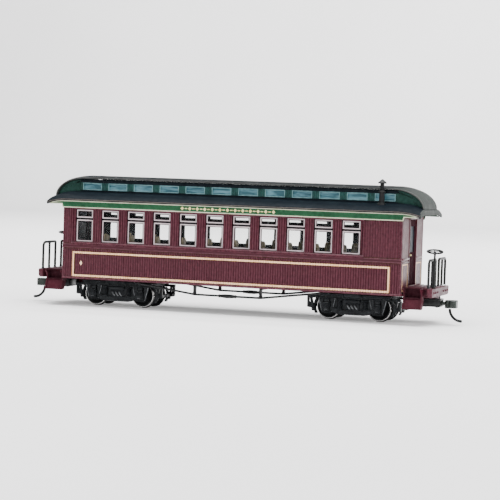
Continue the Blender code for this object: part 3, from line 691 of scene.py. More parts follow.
def shaded_gaps(kit):
    """Dark blocks as painted shade in the gaps between the sashes and round them."""
    depths = (WALL_Y - 1.62, WALL_Y - 1.48)
    for bay in range(WINDOW_BAYS):
        left = bay_centre(bay) - WINDOW_HALF
        right = bay_centre(bay) + WINDOW_HALF
        kit.box((left, right), depths, (MEETING_Z[0] - 0.25, MEETING_Z[1] + 0.25))
        kit.frame_bars("XZ", (left - 0.1, WINDOW_Z[0] - 0.1), (right + 0.1, WINDOW_Z[1] + 0.1), 0.9, *depths)


def letter_outline():
    """Right half of the board's bottom and top edges, as two lines of points."""
    bottom, top = LETTER_Z
    lower = [(0.0, bottom), (100.6, bottom), (100.9, 57.6), (101.2, 58.9), (108.9, 58.9)]
    upper = [(108.9, 59.35), (106.6, 60.05), (104.0, 60.6), (100.5, top - 0.05), (0.0, top)]
    return lower, upper


def letterboard(kit):
    lower, upper = letter_outline()
    kit.prism("XZ", mirrored(lower[1:] + upper[:-1]), *LETTER_Y)


def letterboard_lining(kit):
    """Pale lines along the bottom and the top of the board, meeting at its tips."""
    lower, upper = letter_outline()
    for part in kit.ends():
        for line, width in ((lower, 0.5), (list(reversed(upper)), -0.45)):
            part.prism("XZ", ribbon(line, width), LETTER_Y[1] - 0.15, LETTER_Y[1] + 0.08)


def ornament(kit):
    """A plain row of lozenges and dashes along the middle of the board."""
    depths = (LETTER_Y[1] - 0.15, LETTER_Y[1] + 0.1)
    middle = sum(LETTER_Z) / 2 + 0.05
    dash = ((-0.75, -0.26), (0.75, -0.26), (0.75, 0.26), (-0.75, 0.26))
    for index in range(-12, 13):
        along = index * 2.25
        if index % 2 == 0:
            lozenge(kit, (along, middle), 2.0, 2.1, *depths)
        else:
            kit.prism("XZ", [(along + across, middle + up) for across, up in dash], *depths)


def build_sides():
    # Painted shade: inner faces of the wall take the near black.
    def inward_shade(centre, normal):
        return 1 if centre.y < WALL_INNER_Y + 0.02 and normal.y < -0.5 else 0

    # Painted shade: every sash face except the outward ones takes the near black.
    def shaded_unless_outward(centre, normal):
        return 0 if normal.y > 0.5 else 1

    for label, side in SIDES.items():
        make(f"wall_{label}", [side_wall, side_mouldings], [MAROON, SHADE], "body", f"side_wall_{label}",
             side=side, choose=inward_shade)
        make(f"window_sashes_{label}", sashes, [SASH, SHADE], side=side, choose=shaded_unless_outward)
        make(f"shaded_gaps_{label}", [shaded_gaps, glazing_beads], SHADE, side=side)
        make(f"keyline_and_shade_lines_{label}", [lambda kit: stripe(kit, KEYLINE, 0.03), shade_lines], BROWN,
             side=side)
        make(f"stripe_{label}", lambda kit: stripe(kit, 0.0, 0.07), CREAM, side=side)
        make(f"side_lozenge_{label}", side_lozenge, CREAM, side=side)
        make(f"letterboard_green_{label}", letterboard, GREEN, "green", f"letterboard_{label}", side=side)
        make(f"letterboard_lining_{label}", letterboard_lining, LINING, side=side)
        make(f"letterboard_ornament_{label}", ornament, GOLD, side=side)


# ---------------------------------------------------------------- roof

def droop(along):
    reach = max(0.0, abs(along) - DROOP_START)
    return (reach / (ROOF_X - DROOP_START)) ** 2


def deck_z(along, across):
    """Height of the lower deck's upper surface."""
    rise = (ROOF_Y - abs(across)) / (ROOF_Y - BAND_Y[1])
    rise = min(max(rise, 0.0), 1.0)
    level = EAVE_Z + (BAND_FOOT_Z - EAVE_Z) * (1 - (1 - rise) ** DECK_CURVE)
    return level - droop(along) * (EAVE_DROP + (BAND_DROP - EAVE_DROP) * rise)


def lip_z(across):
    """Lower edge of the fascia at the roof's end."""
    rise = min(1.0, (ROOF_Y - abs(across)) / 8.0)
    return 58.7 + 1.3 * rise


def deck_ring(along, fascia=False, inset=0.0):
    half = [ROOF_Y - (ROOF_Y - BAND_Y[1]) * (step / 9) ** 1.3 for step in range(10)] + [10.0, 5.0]
    top = []
    bottom = []
    for across in half + [0.0] + [-width for width in reversed(half)]:
        side = 1 if across >= 0 else -1
        width = max(0.0, abs(across) - inset)
        height = deck_z(along, across)
        top.append((along, side * width, height - 0.6 * inset))
        low = lip_z(across) if fascia else height - DECK_THICK
        bottom.append((along, side * width, low + (0.3 * inset if fascia else 0.0)))
    return top + list(reversed(bottom))


def roof_deck(kit):
    end = ROOF_X
    skin = 0.9
    half = [(end, True, 0.25), (end - 0.12, True, 0.08), (end - 0.3, True, 0.0), (end - skin, True, 0.0),
            (end - skin - 0.02, False, 0.0)]
    steps = 16
    for step in range(1, steps + 1):
        half.append((end - skin - (end - skin - DROOP_START + 2) * step / steps, False, 0.0))
    rings = [deck_ring(*station) for station in half]
    rings += [deck_ring(-along, fascia, inset) for along, fascia, inset in reversed(half)]
    kit.loft(rings)


def eave_lips(kit):
    """A small half-round bead along each eave."""
    steps = 12
    run = [-ROOF_X + 0.5 + (ROOF_X - DROOP_START) * step / steps for step in range(steps + 1)]
    run += [-along for along in reversed(run)]
    for part in kit.sides():
        points = [(along, ROOF_Y - 0.12, deck_z(along, ROOF_Y) - 0.62) for along in run]
        part.tube(points, 0.24, 8, flat=1.3)


def hood_point(angle, across, inset=0.0):
    """A point of the cap over the end of the roof, where it curves down."""
    edge = CAP_EDGE_Z + CAP_CROWN * (1 - (across / CAP_Y) ** 2)
    along = HOOD_START + (HOOD_LENGTH - inset) * math.sin(angle)
    height = HOOD_FOOT_Z + (edge - HOOD_FOOT_Z - inset) * math.cos(angle)
    if angle > HOOD_END - 0.01:
        height = min(height, deck_z(along, across) + 0.35) - 0.15
    return along, height


def hood_angles():
    """Every end and angle at which the cap is drawn, from its front foot to its rear one."""
    angles = [HOOD_END * (1 - step / HOOD_STEPS) for step in range(HOOD_STEPS + 1)]
    return [(FRONT, angle) for angle in angles] + [(REAR, angle) for angle in reversed(angles)]


def cap_ring(end, angle):
    columns = [CAP_Y * (1 - step / 12) for step in range(25)]
    ring = []
    for across in columns:
        bevel = 0.25 if abs(across) > CAP_Y - 0.01 else 0.0
        along, height = hood_point(angle, across, bevel)
        ring.append((end * along, across, height))
    for across in reversed(columns):
        along, height = hood_point(angle, across, CAP_THICK)
        ring.append((end * along, across, height))
    return ring


def roof_cap(kit):
    kit.loft([cap_ring(end, angle) for end, angle in hood_angles()])


def cap_beads(kit):
    """The moulding that runs along the cap's lower edge and round its hoods."""
    points = []
    for end, angle in hood_angles():
        along, height = hood_point(angle, CAP_Y, 0.62)
        points.append((end * along, CAP_Y - 0.05, height))
    for part in kit.sides():
        part.tube(points, 0.42, 8)


def clerestory_outline():
    foot = [(along, deck_z(along, BAND_Y[1]) + 0.1) for along in (98.0, 100.0, 102.0, 104.0, 105.4, 107.6)]
    top = []
    for step in range(13):
        angle = math.radians(6.75 * step)
        along = HOOD_START + (HOOD_LENGTH - 1.4) * math.sin(angle)
        top.append((along, HOOD_FOOT_Z + (BAND_TOP_Z - HOOD_FOOT_Z) * math.cos(angle)))
    return foot, top


def clerestory(kit):
    """A wall with a row of openings between grooved posts."""
    inner, outer = BAND_Y
    foot, top = clerestory_outline()
    base = foot[0][1]
    low, high = BAND_LIGHT_Z
    far = bay_centre(BAYS - 1) + BAND_LIGHT_HALF
    face = outer - 0.3
    end_panel = [(far, base)] + foot + list(reversed(top)) + [(far, BAND_TOP_Z)]
    inset = [(far + 2.0, low - 0.1), (101.5, low - 1.9), (104.8, low - 2.3)]
    inset += [(along - 1.5, up - 1.2) for along, up in reversed(top[2:9])] + [(far + 2.0, high + 0.5)]
    for part in kit.ends():
        part.prism("XZ", end_panel, inner, face)
        part.prism("XZ", inset, face, outer - 0.02)
    for heights in ((base, low), (high, BAND_TOP_Z)):
        kit.box((-far, far), (inner, face), heights)
    for bay in range(BAYS - 1):
        start = bay_centre(bay) + BAND_LIGHT_HALF
        end = bay_centre(bay + 1) - BAND_LIGHT_HALF
        kit.box((start, end), (inner, face), (low, high))
        for share in (0.2, 0.5, 0.8):
            middle = start + (end - start) * share
            kit.box((middle - 0.4, middle + 0.4), (face - 0.1, outer), (low - 0.1, high + 0.1), 0.16)
    for heights, proud in (((base, low - 0.35), 0.16), ((high + 0.35, BAND_TOP_Z - 0.1), 0.1)):
        kit.box((-far - 1.6, far + 1.6), (face - 0.1, outer + proud), heights, 0.15)


def light_frames(kit):
    """The thin frames round the clerestory lights."""
    low, high = BAND_LIGHT_Z
    for bay in range(BAYS):
        middle = bay_centre(bay)
        kit.frame_bars("XZ", (middle - BAND_LIGHT_HALF, low), (middle + BAND_LIGHT_HALF, high), 0.42,
                       BAND_Y[1] - 0.6, BAND_Y[1] - 0.1)


def smokejack(kit):
    low, high = span("smokejack")
    centre = (low + high) / 2
    at = (centre.x, centre.y, 0.0)
    profile = [
        (0.0, 79.4), (0.35, 79.25), (2.2, 77.65), (2.42, 77.4), (2.42, 77.15), (2.2, 76.95), (1.2, 76.9),
        (1.15, 75.6), (1.35, 75.5), (1.35, 75.1), (1.15, 75.0), (1.15, 73.0), (1.75, 72.8), (1.95, 72.5),
        (1.95, 72.1), (1.75, 71.8), (1.55, 71.6), (1.55, 66.2), (1.7, 66.05), (1.7, 65.6), (1.55, 65.45),
        (1.55, 62.6), (0.0, 62.6),
    ]
    tilt = deck_z(centre.x, centre.y)
    flashing = [(1.62, tilt - 1.0), (2.5, tilt - 1.0), (2.5, tilt + 0.15), (1.9, tilt + 0.55),
                (1.62, tilt + 0.6)]
    kit.lathe(profile, at, segments=32)
    kit.lathe(flashing, at, segments=32)


def build_roof():
    def at_end(centre, normal):
        return 1 if abs(centre.x) > ROOF_X - 0.95 and abs(normal.x) > 0.3 else 0

    # Painted shade: the strips above and below the lights take the roof's blue-black, and the end panels the
    # darker green.
    def in_shade(centre, normal):
        low, high = BAND_LIGHT_Z
        if abs(centre.x) > 95.0:
            return 2
        return 1 if centre.z < low - 0.2 or centre.z > high + 0.2 else 0

    make("roof_lower", roof_deck, [ROOF, CAP], "roof", "roof_deck", choose=at_end)
    make("eave_beads", eave_lips, EAVE)
    make("roof_top", roof_cap, CAP, "cap", "roof_cap")
    make("cap_beads", cap_beads, CAP_EDGE)
    for label, side in SIDES.items():
        make(f"clerestory_{label}", clerestory, [CLERESTORY, ROOF, CLERESTORY_END], "clerestory",
             f"clerestory_side_{label}", side=side, choose=in_shade)
        make(f"clerestory_frames_{label}", light_frames, TEAL, side=side)
    make("chimney", smokejack, BLACK, "black_metal", "smokejack")


# ---------------------------------------------------------------- ends of the body

def end_wall(kit):
    """Boarded wall with a door opening, a belt and a lower panel."""
    low, high = span("end_wall_front")
    half = high.y
    core = BODY_X - 0.4
    board_top = 58.6
    shoulder = 14.8
    lintel = deck_z(BODY_X, shoulder) - 1.7

    def slab(part, across, heights, proud, edge=0.15):
        part.box((core - 0.15, BODY_X + proud), across, heights, edge)

    outline = [(DOOR_HALF, SILL_Z), (half, SILL_Z)]
    outline += [(across, deck_z(BODY_X, across) - 1.7) for across in (half, 20.0, shoulder)]
    outline.append((DOOR_HALF, lintel))
    for part in kit.sides():
        part.prism("YZ", outline, low.x, core)
        for step in range(9):
            start = DOOR_HALF + 1.0 + step * 1.78
            slab(part, (start, min(start + 1.6, half)), (SILL_Z + 0.3, board_top), 0.0, 0.2)
        slab(part, (DOOR_HALF + 0.02, DOOR_HALF + 0.95), (DOOR_Z[0] - 0.6, DOOR_Z[1] + 0.9), 0.35)
        for heights, proud in (((35.5, 36.5), 0.5), ((33.9, 34.5), 0.35), ((SILL_Z, SILL_Z + 1.0), 0.2)):
            slab(part, (DOOR_HALF + 0.9, half), heights, proud)
        slab(part, (half - 0.8, half), (SILL_Z, board_top), 0.12)
    for heights in ((DOOR_Z[1], lintel), (SILL_Z, DOOR_Z[0])):
        kit.box((low.x, core), (-DOOR_HALF, DOOR_HALF), heights)
    slab(kit, (-DOOR_HALF - 0.95, DOOR_HALF + 0.95), (DOOR_Z[1], DOOR_Z[1] + 0.95), 0.35)
    slab(kit, (-DOOR_HALF - 0.9, DOOR_HALF + 0.9), (DOOR_Z[0] - 0.7, DOOR_Z[0]), 0.5)


def end_lining(kit):
    """A thin painted rectangle on each lower panel."""
    half = span("end_wall_front")[1].y
    for part in kit.sides():
        part.frame_bars("YZ", (DOOR_HALF + 2.0, 18.2), (half - 1.1, 33.2), 0.55, BODY_X - 0.1, BODY_X + 0.07)


def end_door(kit):
    low, high = span("end_door_front")
    inner, outer = low.x, high.x
    half = high.y
    light = DOOR_LIGHT_HALF
    low_z, high_z = DOOR_LIGHT_Z
    for across in ((-half, -light), (light, half)):
        kit.box((inner, outer), across, (low.z, high.z), 0.12)
    for heights in ((low.z, low_z), (high_z, high.z)):
        kit.box((inner, outer - 0.02), (-light, light), heights, 0.1)
    kit.frame_bars("YZ", (-light - 0.4, low_z - 0.4), (light + 0.4, high_z + 0.4), 0.7, outer - 0.1,
                   outer + 0.22)
    for bottom, top in ((23.4, 29.2), (30.6, 36.6)):
        kit.frame_bars("YZ", (-light - 0.3, bottom), (light + 0.3, top), 0.55, outer - 0.1, outer + 0.18)
        kit.box((outer - 0.1, outer + 0.12), (-light + 1.2, light - 1.2), (bottom + 1.5, top - 1.5), 0.1)


def door_handle(kit):
    outer = span("end_door_front")[1].x
    profile = [(0.0, 0.0), (0.65, 0.0), (0.65, 0.18), (0.28, 0.25), (0.28, 0.75), (0.55, 0.95), (0.6, 1.25),
               (0.35, 1.5), (0.0, 1.55)]
    kit.lathe(profile, (outer - 0.05, -6.3, 37.9), "X", 16)


def door_pane(kit):
    low, high = span("end_door_front")
    middle = (low.x + high.x) / 2
    half = DOOR_LIGHT_HALF + 0.3
    heights = (DOOR_LIGHT_Z[0] - 0.3, DOOR_LIGHT_Z[1] + 0.3)
    kit.box((middle - 0.15, middle + 0.15), (-half, half), heights, 0.05)


def build_ends():
    # Painted shade: inner faces of the end walls and doors take the near black.
    def inward_shade(centre, normal):
        return 1 if normal.x < -0.5 else 0

    for label, end in ENDS.items():
        make(f"end_panels_{label}", end_wall, [END_MAROON, SHADE], "body", f"end_wall_{label}", end=end,
             choose=inward_shade)
        make(f"end_lining_{label}", end_lining, CREAM, end=end)
        make(f"door_{label}", end_door, [SHADED_MAROON, SHADE], "body", f"end_door_{label}", end=end,
             choose=inward_shade)
        make(f"door_glass_{label}", door_pane, DOOR_GLASS, "clear_glass", end=end)
        make(f"door_knob_{label}", door_handle, GOLD, end=end, side=end)


# ---------------------------------------------------------------- platforms, steps, rails

def platform(kit):
    low, high = span("end_platform_front")
    inner = low.x
    half = 16.4
    plank = 1.8
    count = 8
    bearer = (inner, BEAM_INNER_X + 0.2)
    start = inner
    for index in range(count):
        edge = min(start + plank - 0.12, BEAM_INNER_X - 0.05)
        kit.box((start, edge), (-half, half), (19.5, high.z), 0.1)
        start += (BEAM_INNER_X - inner) / count
    kit.box((inner, BEAM_INNER_X), (-half + 0.2, half - 0.2), (19.35, 19.9))
    for across in (-5.2, 5.2, -12.8, 12.8):
        kit.box(bearer, (across - 0.8, across + 0.8), (16.6, 19.5), 0.15)
    kit.box(bearer, (-4.6, 4.6), (14.6, 16.7), 0.15)


def end_beam(kit):
    high = span("end_platform_front")[1]
    inner, outer = BEAM_INNER_X, high.x
    low_z, high_z = 15.7, high.z
    centre_z = (low_z + high_z) / 2
    half = high.y
    corner = 2.2
    side = arc((half - corner, low_z + corner), corner, -90, 0, 8)
    side += arc((half - 0.6, high_z - 0.6), 0.6, 0, 90, 4)
    rings = []
    for offset, shrink in ((inner, 0.25), (inner + 0.25, 0.0), (outer - 0.25, 0.0), (outer, 0.25)):
        rings.append([(offset, across * (1 - shrink / half), centre_z + (up - centre_z) * (1 - shrink / 2.5))
                      for across, up in mirrored(side)])
    kit.loft(rings)
    for across in (7.2, 12.4, 17.2):
        for part in kit.sides():
            part.disc((outer - 0.05, across, 18.3), 0.62, 0.4, "X", 12, dome=0.08)
            part.disc((outer + 0.3, across, 18.3), 0.34, 0.25, "X", 6)


def pocket_ring(kit):
    """The small ring that hangs below the beam, above the coupler box."""
    along = span("end_platform_front")[1].x - 0.25
    kit.lathe(arc((0.85, 0.0), 0.26, 90, -210, 5), (along, 0.0, 14.95), "X", 20)
    kit.tube([(along, 0.0, 15.95), (along, 0.0, 15.6)], 0.3, 8)


def step_unit(kit):
    """Two treads between shaped side plates."""
    low, high = span("steps_front_left")
    inner, outer = low.y, high.y
    bottom, top = low.z, high.z
    cheek = 0.75
    outline = [(inner, 14.2), (19.7, bottom + 0.2), (20.1, bottom), (outer - 0.3, bottom),
               (outer, bottom + 0.3), (outer, 9.9), (23.6, 11.3), (22.9, 12.9), (22.3, 14.4), (21.9, 15.5),
               (21.8, 16.6), (22.05, 17.6), (22.6, 18.5), (23.4, 19.25), (outer, 19.7), (outer, top),
               (inner, top)]
    for near in (low.x, high.x - cheek):
        kit.prism("YZ", outline, near, near + cheek)
    between = (low.x + cheek - 0.05, high.x - cheek + 0.05)
    plates = (((inner, 18.0), (14.6, top)), ((inner, 18.6), (top - 0.6, top - 0.02)),
              ((17.6, 21.85), (14.75, 15.4)), ((19.9, outer - 0.05), (bottom + 0.02, bottom + 0.8)))
    for across, heights in plates:
        kit.box(between, across, heights, 0.12)
    riser = [(20.9, 14.8), (21.35, 14.8), (23.55, bottom + 0.5), (22.9, bottom + 0.5)]
    kit.prism("YZ", riser, *between)
    for row in range(3):
        across = 19.0 + 0.95 * row
        kit.box(between, (across, across + 0.35), (15.3, 15.55), 0.08)


def railing(kit):
    low, high = span("railing_front_left")
    middle = (low.x + high.x) / 2
    radius = 0.72
    inner, outer = low.y + radius, high.y - radius
    foot, top = low.z, high.z - radius
    bend = 2.6
    path = [(inner, foot), (inner, top - 1.2)] + arc((inner + 0.9, top - 0.9), 0.9, 180, 90, 4)
    path += arc((outer - bend, top - bend), bend, 90, 0, 10) + [(outer, foot)]
    kit.tube([(middle, across, up) for across, up in path], radius, 12)
    centre = (inner + outer) / 2
    kit.tube([(middle, centre, foot), (middle, centre, top - 0.1)], radius * 0.95, 12)
    socket = [(0.0, foot), (0.85, foot), (0.85, foot + 0.3), (0.65, foot + 0.6), (0.0, foot + 0.65)]
    for across in (inner, centre, outer):
        kit.lathe(socket, (middle, across, 0.0), segments=14)
    kit.disc((middle, centre, top - 0.75), 0.78, 0.5, "Z", 12)


def brake_wheel(kit):
    """A staff with a dished, slightly tipped wheel on top."""
    low, high = span("brake_wheel_front")
    centre = (low + high) / 2
    height = 40.8
    thick = 0.5
    radius = (high.x - low.x) / 2 - thick
    foot = low.z
    staff = [(0.0, foot), (0.8, foot), (0.8, foot + 0.5), (0.65, foot + 0.8), (0.6, foot + 1.4),
             (0.6, height - 1.9), (0.7, height - 1.6), (0.7, height - 0.9), (0.75, height - 0.4),
             (0.75, height), (0.6, height + 0.2), (0.0, height + 0.25)]
    kit.lathe(staff, (centre.x, centre.y, 0.0), segments=18)
    tip = Matrix.Rotation(math.radians(11.0 * kit.end), 3, Vector((math.cos(0.32), math.sin(0.32), 0.0)))
    hub = Vector(kit.at(centre.x, centre.y, height))
    before = set(kit.mesh.verts)
    upright = kit.plain()
    upright.lathe(arc((radius, 0.0), thick, 90, -240, 11), hub, segments=40)
    for spoke in range(4):
        angle = math.pi * spoke / 2 + 0.3
        out = Vector((math.cos(angle), math.sin(angle), 0.0))
        upright.tube([hub + out * 0.5, hub + out * 0.5 * radius, hub + out * (radius - 0.1)], 0.24, 8)
    fresh = [vert for vert in kit.mesh.verts if vert not in before]
    bmesh.ops.transform(kit.mesh, matrix=tip.to_4x4(), space=Matrix.Translation(-hub), verts=fresh)


def brake_bracket(kit):
    """The bearing that holds the brake staff's foot on the beam."""
    low, high = span("brake_wheel_front")
    centre = (low + high) / 2
    top = span("end_platform_front")[1].z
    collar = [(0.85, top - 0.2), (1.15, top - 0.2), (1.15, top + 0.15), (1.05, top + 0.28),
              (0.85, top + 0.28)]
    kit.lathe(collar, (centre.x, centre.y, 0.0), segments=18)


def coupler_box(kit):
    low, high = span("coupler_box_front")
    wall = 0.9
    half = high.y
    length = (low.x, high.x)
    within = (low.z + 0.1, high.z - 0.1)
    for heights in ((high.z - wall, high.z), (low.z, low.z + wall)):
        kit.box(length, (-half, half), heights, 0.25)
    for part in kit.sides():
        part.box(length, (half - wall, half - 0.05), within, 0.15)
        for along in (low.x + 2.2, high.x - 2.0):
            part.disc((along, 3.2, low.z + 0.05), 0.75, 0.4, "Z", 14, -1)
    kit.box((low.x, low.x + wall), (-half + 0.2, half - 0.2), within, 0.15)
    kit.disc((COUPLER_PIVOT_X, 0.0, low.z + 0.3), 0.9, high.z - low.z - 0.6, "Z", 18)
    kit.disc((COUPLER_PIVOT_X, 0.0, low.z + 0.05), 1.5, 0.45, "Z", 18, -1)


def chamfered(low, high, edge):
    """Levels for plate_stack that cut both edges of a plate."""
    return [(low, edge), (low + edge, 0.0), (high - edge, 0.0), (high, edge)]


def coupler_head(kit):
    low, high = span("coupler_body_front")
    pivot = (COUPLER_PIVOT_X, 0.0)
    head_x = 120.0
    middle = (low.z + high.z) / 2
    bottom, top = middle - 0.6, middle + 1.2
    rings = []
    for outer, inner in zip(arc(pivot, 2.2, 0, 345, 23), arc(pivot, 1.2, 0, 345, 23)):
        rings.append([(*outer, bottom), (*outer, top), (*inner, top), (*inner, bottom)])
    kit.loft(rings, closed=True)
    kit.box((COUPLER_PIVOT_X + 1.9, head_x + 1.2), (-1.45, 1.45), (bottom, top), 0.3)
    head = [(head_x, -1.8), (head_x + 1.2, -3.2), (122.4, -3.2), (122.4, 0.2), (124.6, 1.2), (126.4, 2.0),
            (126.4, 3.4), (head_x + 1.6, 3.0), (head_x, 1.8)]
    kit.plate_stack(rounded(head, 0.5), chamfered(low.z, high.z, 0.3))


def knuckle(kit):
    low, high = span("knuckle_front")
    jaw = arc((123.9, -2.3), 1.1, 90, 270, 10)
    jaw += [(126.0, -3.4), (126.6, -2.6), (126.6, 0.0), (125.9, 0.6), (125.3, -0.2), (125.0, -1.2)]
    kit.plate_stack(jaw, chamfered(low.z, high.z, 0.2))


def trip_pin(kit):
    swing = arc((129.2, span("trip_pin_front")[1].z), 6.6, 180, 274, 22)
    kit.tube([(along, 0.0, up) for along, up in swing], 0.78, 12, [1.0] * (len(swing) - 1) + [0.75])


def build_platforms():
    # Painted shade: the insides of the step wells take the darker maroon.
    def in_well_shade(centre, normal):
        low, high = span("steps_front_left")
        return 1 if low.x + 0.7 < centre.x < high.x - 0.7 and centre.z > 14.5 else 0

    for label, end in ENDS.items():
        turned = {"end": end, "side": end}
        swinging = f"coupler_{label}"
        make(f"platform_{label}", [platform, end_beam], MAROON, "body", f"end_platform_{label}", end=end)
        make(f"pocket_ring_{label}", pocket_ring, STEEL, end=end)
        make(f"brake_bracket_{label}", brake_bracket, BLACK, "black_metal", **turned)
        make(f"handbrake_{label}", brake_wheel, BLACK, "black_metal", f"brake_wheel_{label}",
             f"brake_{label}", **turned)
        make(f"coupler_pocket_{label}", coupler_box, BLACK, "black_metal", f"coupler_box_{label}", end=end)
        make(f"coupler_head_{label}", coupler_head, COUPLER, "coupler", f"coupler_body_{label}", swinging,
             **turned)
        make(f"coupler_knuckle_{label}", knuckle, COUPLER, "coupler", f"knuckle_{label}", f"knuckle_{label}",
             **turned)
        make(f"trip_wire_{label}", trip_pin, BLACK, "black_metal", f"trip_pin_{label}", swinging, end=end)
        for side_label, side in SIDES.items():
            place = f"{label}_{side_label}"
            make(f"step_{place}", step_unit, [STEP_MAROON, SHADED_MAROON], "body", f"steps_{place}", end=end,
                 side=side, choose=in_well_shade)
            make(f"rail_{place}", railing, BLACK, "black_metal", f"railing_{place}", end=end, side=side)


# ---------------------------------------------------------------- trucks, round a truck's centre

def bolts(kit, points, radius, height=0.4):
    for at in points:
        kit.disc(at, radius, height, "Y", 6)


def side_frame(kit):
    """Cast side of a truck, with axle boxes, springs, equaliser and hangers."""
    kit.prism("XZ", mirrored([(8.4, 4.7), (11.0, 4.5), (18.0, 5.4), (18.2, 12.9)]), 12.3, 12.8)
    kit.box((-21.6, 21.6), (11.5, 13.9), (12.5, 14.8), 0.25)
    for heights in ((12.4, 12.95), (14.3, 14.8)):
        kit.box((-21.5, 21.5), (13.6, 14.3), heights, 0.15)
    bolts(kit, [(along, 13.85, 13.65) for along in (-19.8, -16.4, -12.6, -8.2, 8.2, 12.6, 16.4, 19.8)], 0.5)
    for along in (-5.4, 5.4):
        kit.box((along - 0.5, along + 0.5), (13.8, 14.4), (12.6, 14.6), 0.15)
    half = [(0.0, 3.4), (6.6, 3.4), (8.8, 3.7), (11.0, 4.6), (12.6, 6.4), (12.2, 7.6), (10.6, 7.3),
            (8.8, 6.5), (6.8, 6.25), (0.0, 6.25)]
    kit.prism("XZ", half + [(-along, up) for along, up in reversed(half[1:-1])], 12.4, 13.8)
    for lift in (3.45, 5.8):
        kit.box((-6.9, 6.9), (13.6, 14.15), (lift, lift + 0.5), 0.15)
    for reach in BOTH:
        axle_box(kit.facing(shift=kit.shift + reach * HALF_WHEELBASE))
        coil(kit.plain(), kit.at(reach * 7.3, 13.2, 0.0)[:2], 1.6, (6.9, 11.6))
        brake_hanger(kit.facing(end=reach))
    kit.box((-4.6, 4.6), (12.2, 14.4), (10.3, 12.0), 0.3)
    kit.box((-4.2, 4.2), (12.2, 13.4), (6.0, 10.5), 0.2)


def axle_box(kit):
    """Pedestal legs that draw in downwards, with a lidded box between them."""
    leg = [(2.2, 12.6), (4.9, 12.6), (4.6, 10.4), (3.9, 7.6), (3.0, 4.3), (2.0, 4.3), (2.2, 9.0)]
    for part in kit.ends():
        part.prism("XZ", leg, 12.3, 13.5)
        bolts(part, [(2.6, 13.4, 4.95), (3.9, 13.4, 11.6)], 0.36)
    kit.lathe([(1.35, 11.4), (1.9, 11.4), (2.2, 12.4), (1.35, 12.4)], (0.0, 0.0, AXLE_Z), "Y", 20)
    kit.box((-2.0, 2.0), (12.3, 15.0), (4.9, 10.2), 0.5)
    kit.box((-1.5, 1.5), (14.8, 15.6), (5.4, 9.2), 0.4)
    kit.box((-1.05, 1.05), (15.4, 15.95), (6.0, 8.2), 0.3)
    kit.disc((-1.2, 15.1, 9.5), 0.36, 2.4, "X", 10)
    kit.disc((0.0, 15.4, 5.75), 0.42, 0.4, "Y", 8)
    kit.box((-1.5, 1.5), (12.3, 14.2), (10.0, 12.5), 0.3)
    kit.box((-3.0, 3.0), (12.3, 13.5), (4.0, 4.6), 0.15)


def coil(kit, at, radius, heights):
    """A close-wound spring with plates above and below."""
    turns = 6
    steps = 10 * turns
    low, high = heights
    wire = (high - low) / turns * 0.36
    points = []
    for step in range(steps + 1):
        across, over = polar(at, radius - wire, 360 * turns * step / steps)
        points.append((across, over, low + (high - low) * step / steps))
    kit.tube(points, wire, 6)
    kit.disc((*at, low - 0.6), radius + 0.15, 0.6, "Z", 18)
    kit.disc((*at, high - 0.1), radius + 0.15, 0.5, "Z", 18)
    kit.disc((*at, low - 0.2), radius - 2.2 * wire, high - low + 0.2, "Z", 12)


def brake_hanger(kit):
    """Hanger straps, a shoe beside the wheel and the end of the brake beam."""
    kit.box((19.0, 26.7), (9.4, 12.0), (11.9, 13.3), 0.25)
    kit.prism("XZ", [(25.7, 6.6), (26.9, 6.6), (27.0, 12.2), (25.8, 12.2)], 9.3, 10.7)
    kit.prism("XZ", [(22.6, 4.6), (24.0, 4.6), (25.4, 12.2), (24.0, 12.2)], 9.5, 10.9)
    kit.prism("XZ", [(22.9, 5.6), (23.6, 4.9), (26.8, 9.2), (26.0, 10.0)], 9.0, 10.3)
    radius = FLANGE + 0.45
    wheel_centre = (HALF_WHEELBASE, AXLE_Z)
    shoe = [polar(wheel_centre, radius, angle) for angle in (-32, -16, 0, 16, 34)]
    shoe += [polar(wheel_centre, radius + 1.0, angle) for angle in (30, 14, -2, -15, -28)]
    kit.prism("XZ", shoe, 7.4, 9.9)
    kit.box((23.4, 26.6), (6.6, 10.6), (6.3, 8.2), 0.35)
    kit.disc((24.9, 10.6, 7.3), 0.8, 0.5, "Y", 12)
    kit.disc((24.6, 9.6, 12.6), 0.65, 2.6, "Y", 12)


def bolster(kit):
    low, high = 9.6, 13.1
    half = 3.6
    steps = 24
    rings = []
    for step in range(steps):
        inner, outer = (polar((0.0, 0.0), radius, 360 * step / steps) for radius in (2.3, 3.5))
        rings.append([(*outer, low), (*outer, high), (*inner, high), (*inner, low)])
    kit.loft(rings, closed=True)
    for part in kit.sides():
        part.box((-half, half), (3.0, 11.6), (low, high - 0.05), 0.3)
        part.box((-half, half), (6.0, 9.5), (high - 0.3, high), 0.1)
    for part in kit.ends():
        part.box((2.7, half), (-3.2, 3.2), (low, high - 0.1), 0.2)
        part.box((20.0, 21.6), (-11.6, 11.6), (12.6, 14.7), 0.2)
        part.box((23.9, 25.7), (-7.0, 7.0), (6.5, 8.1), 0.3)
        part.disc((24.8, -0.9, 7.3), 1.3, 1.8, "Y", 14)


def truck_frame(kit):
    for part in kit.sides():
        side_frame(part)
    bolster(kit)


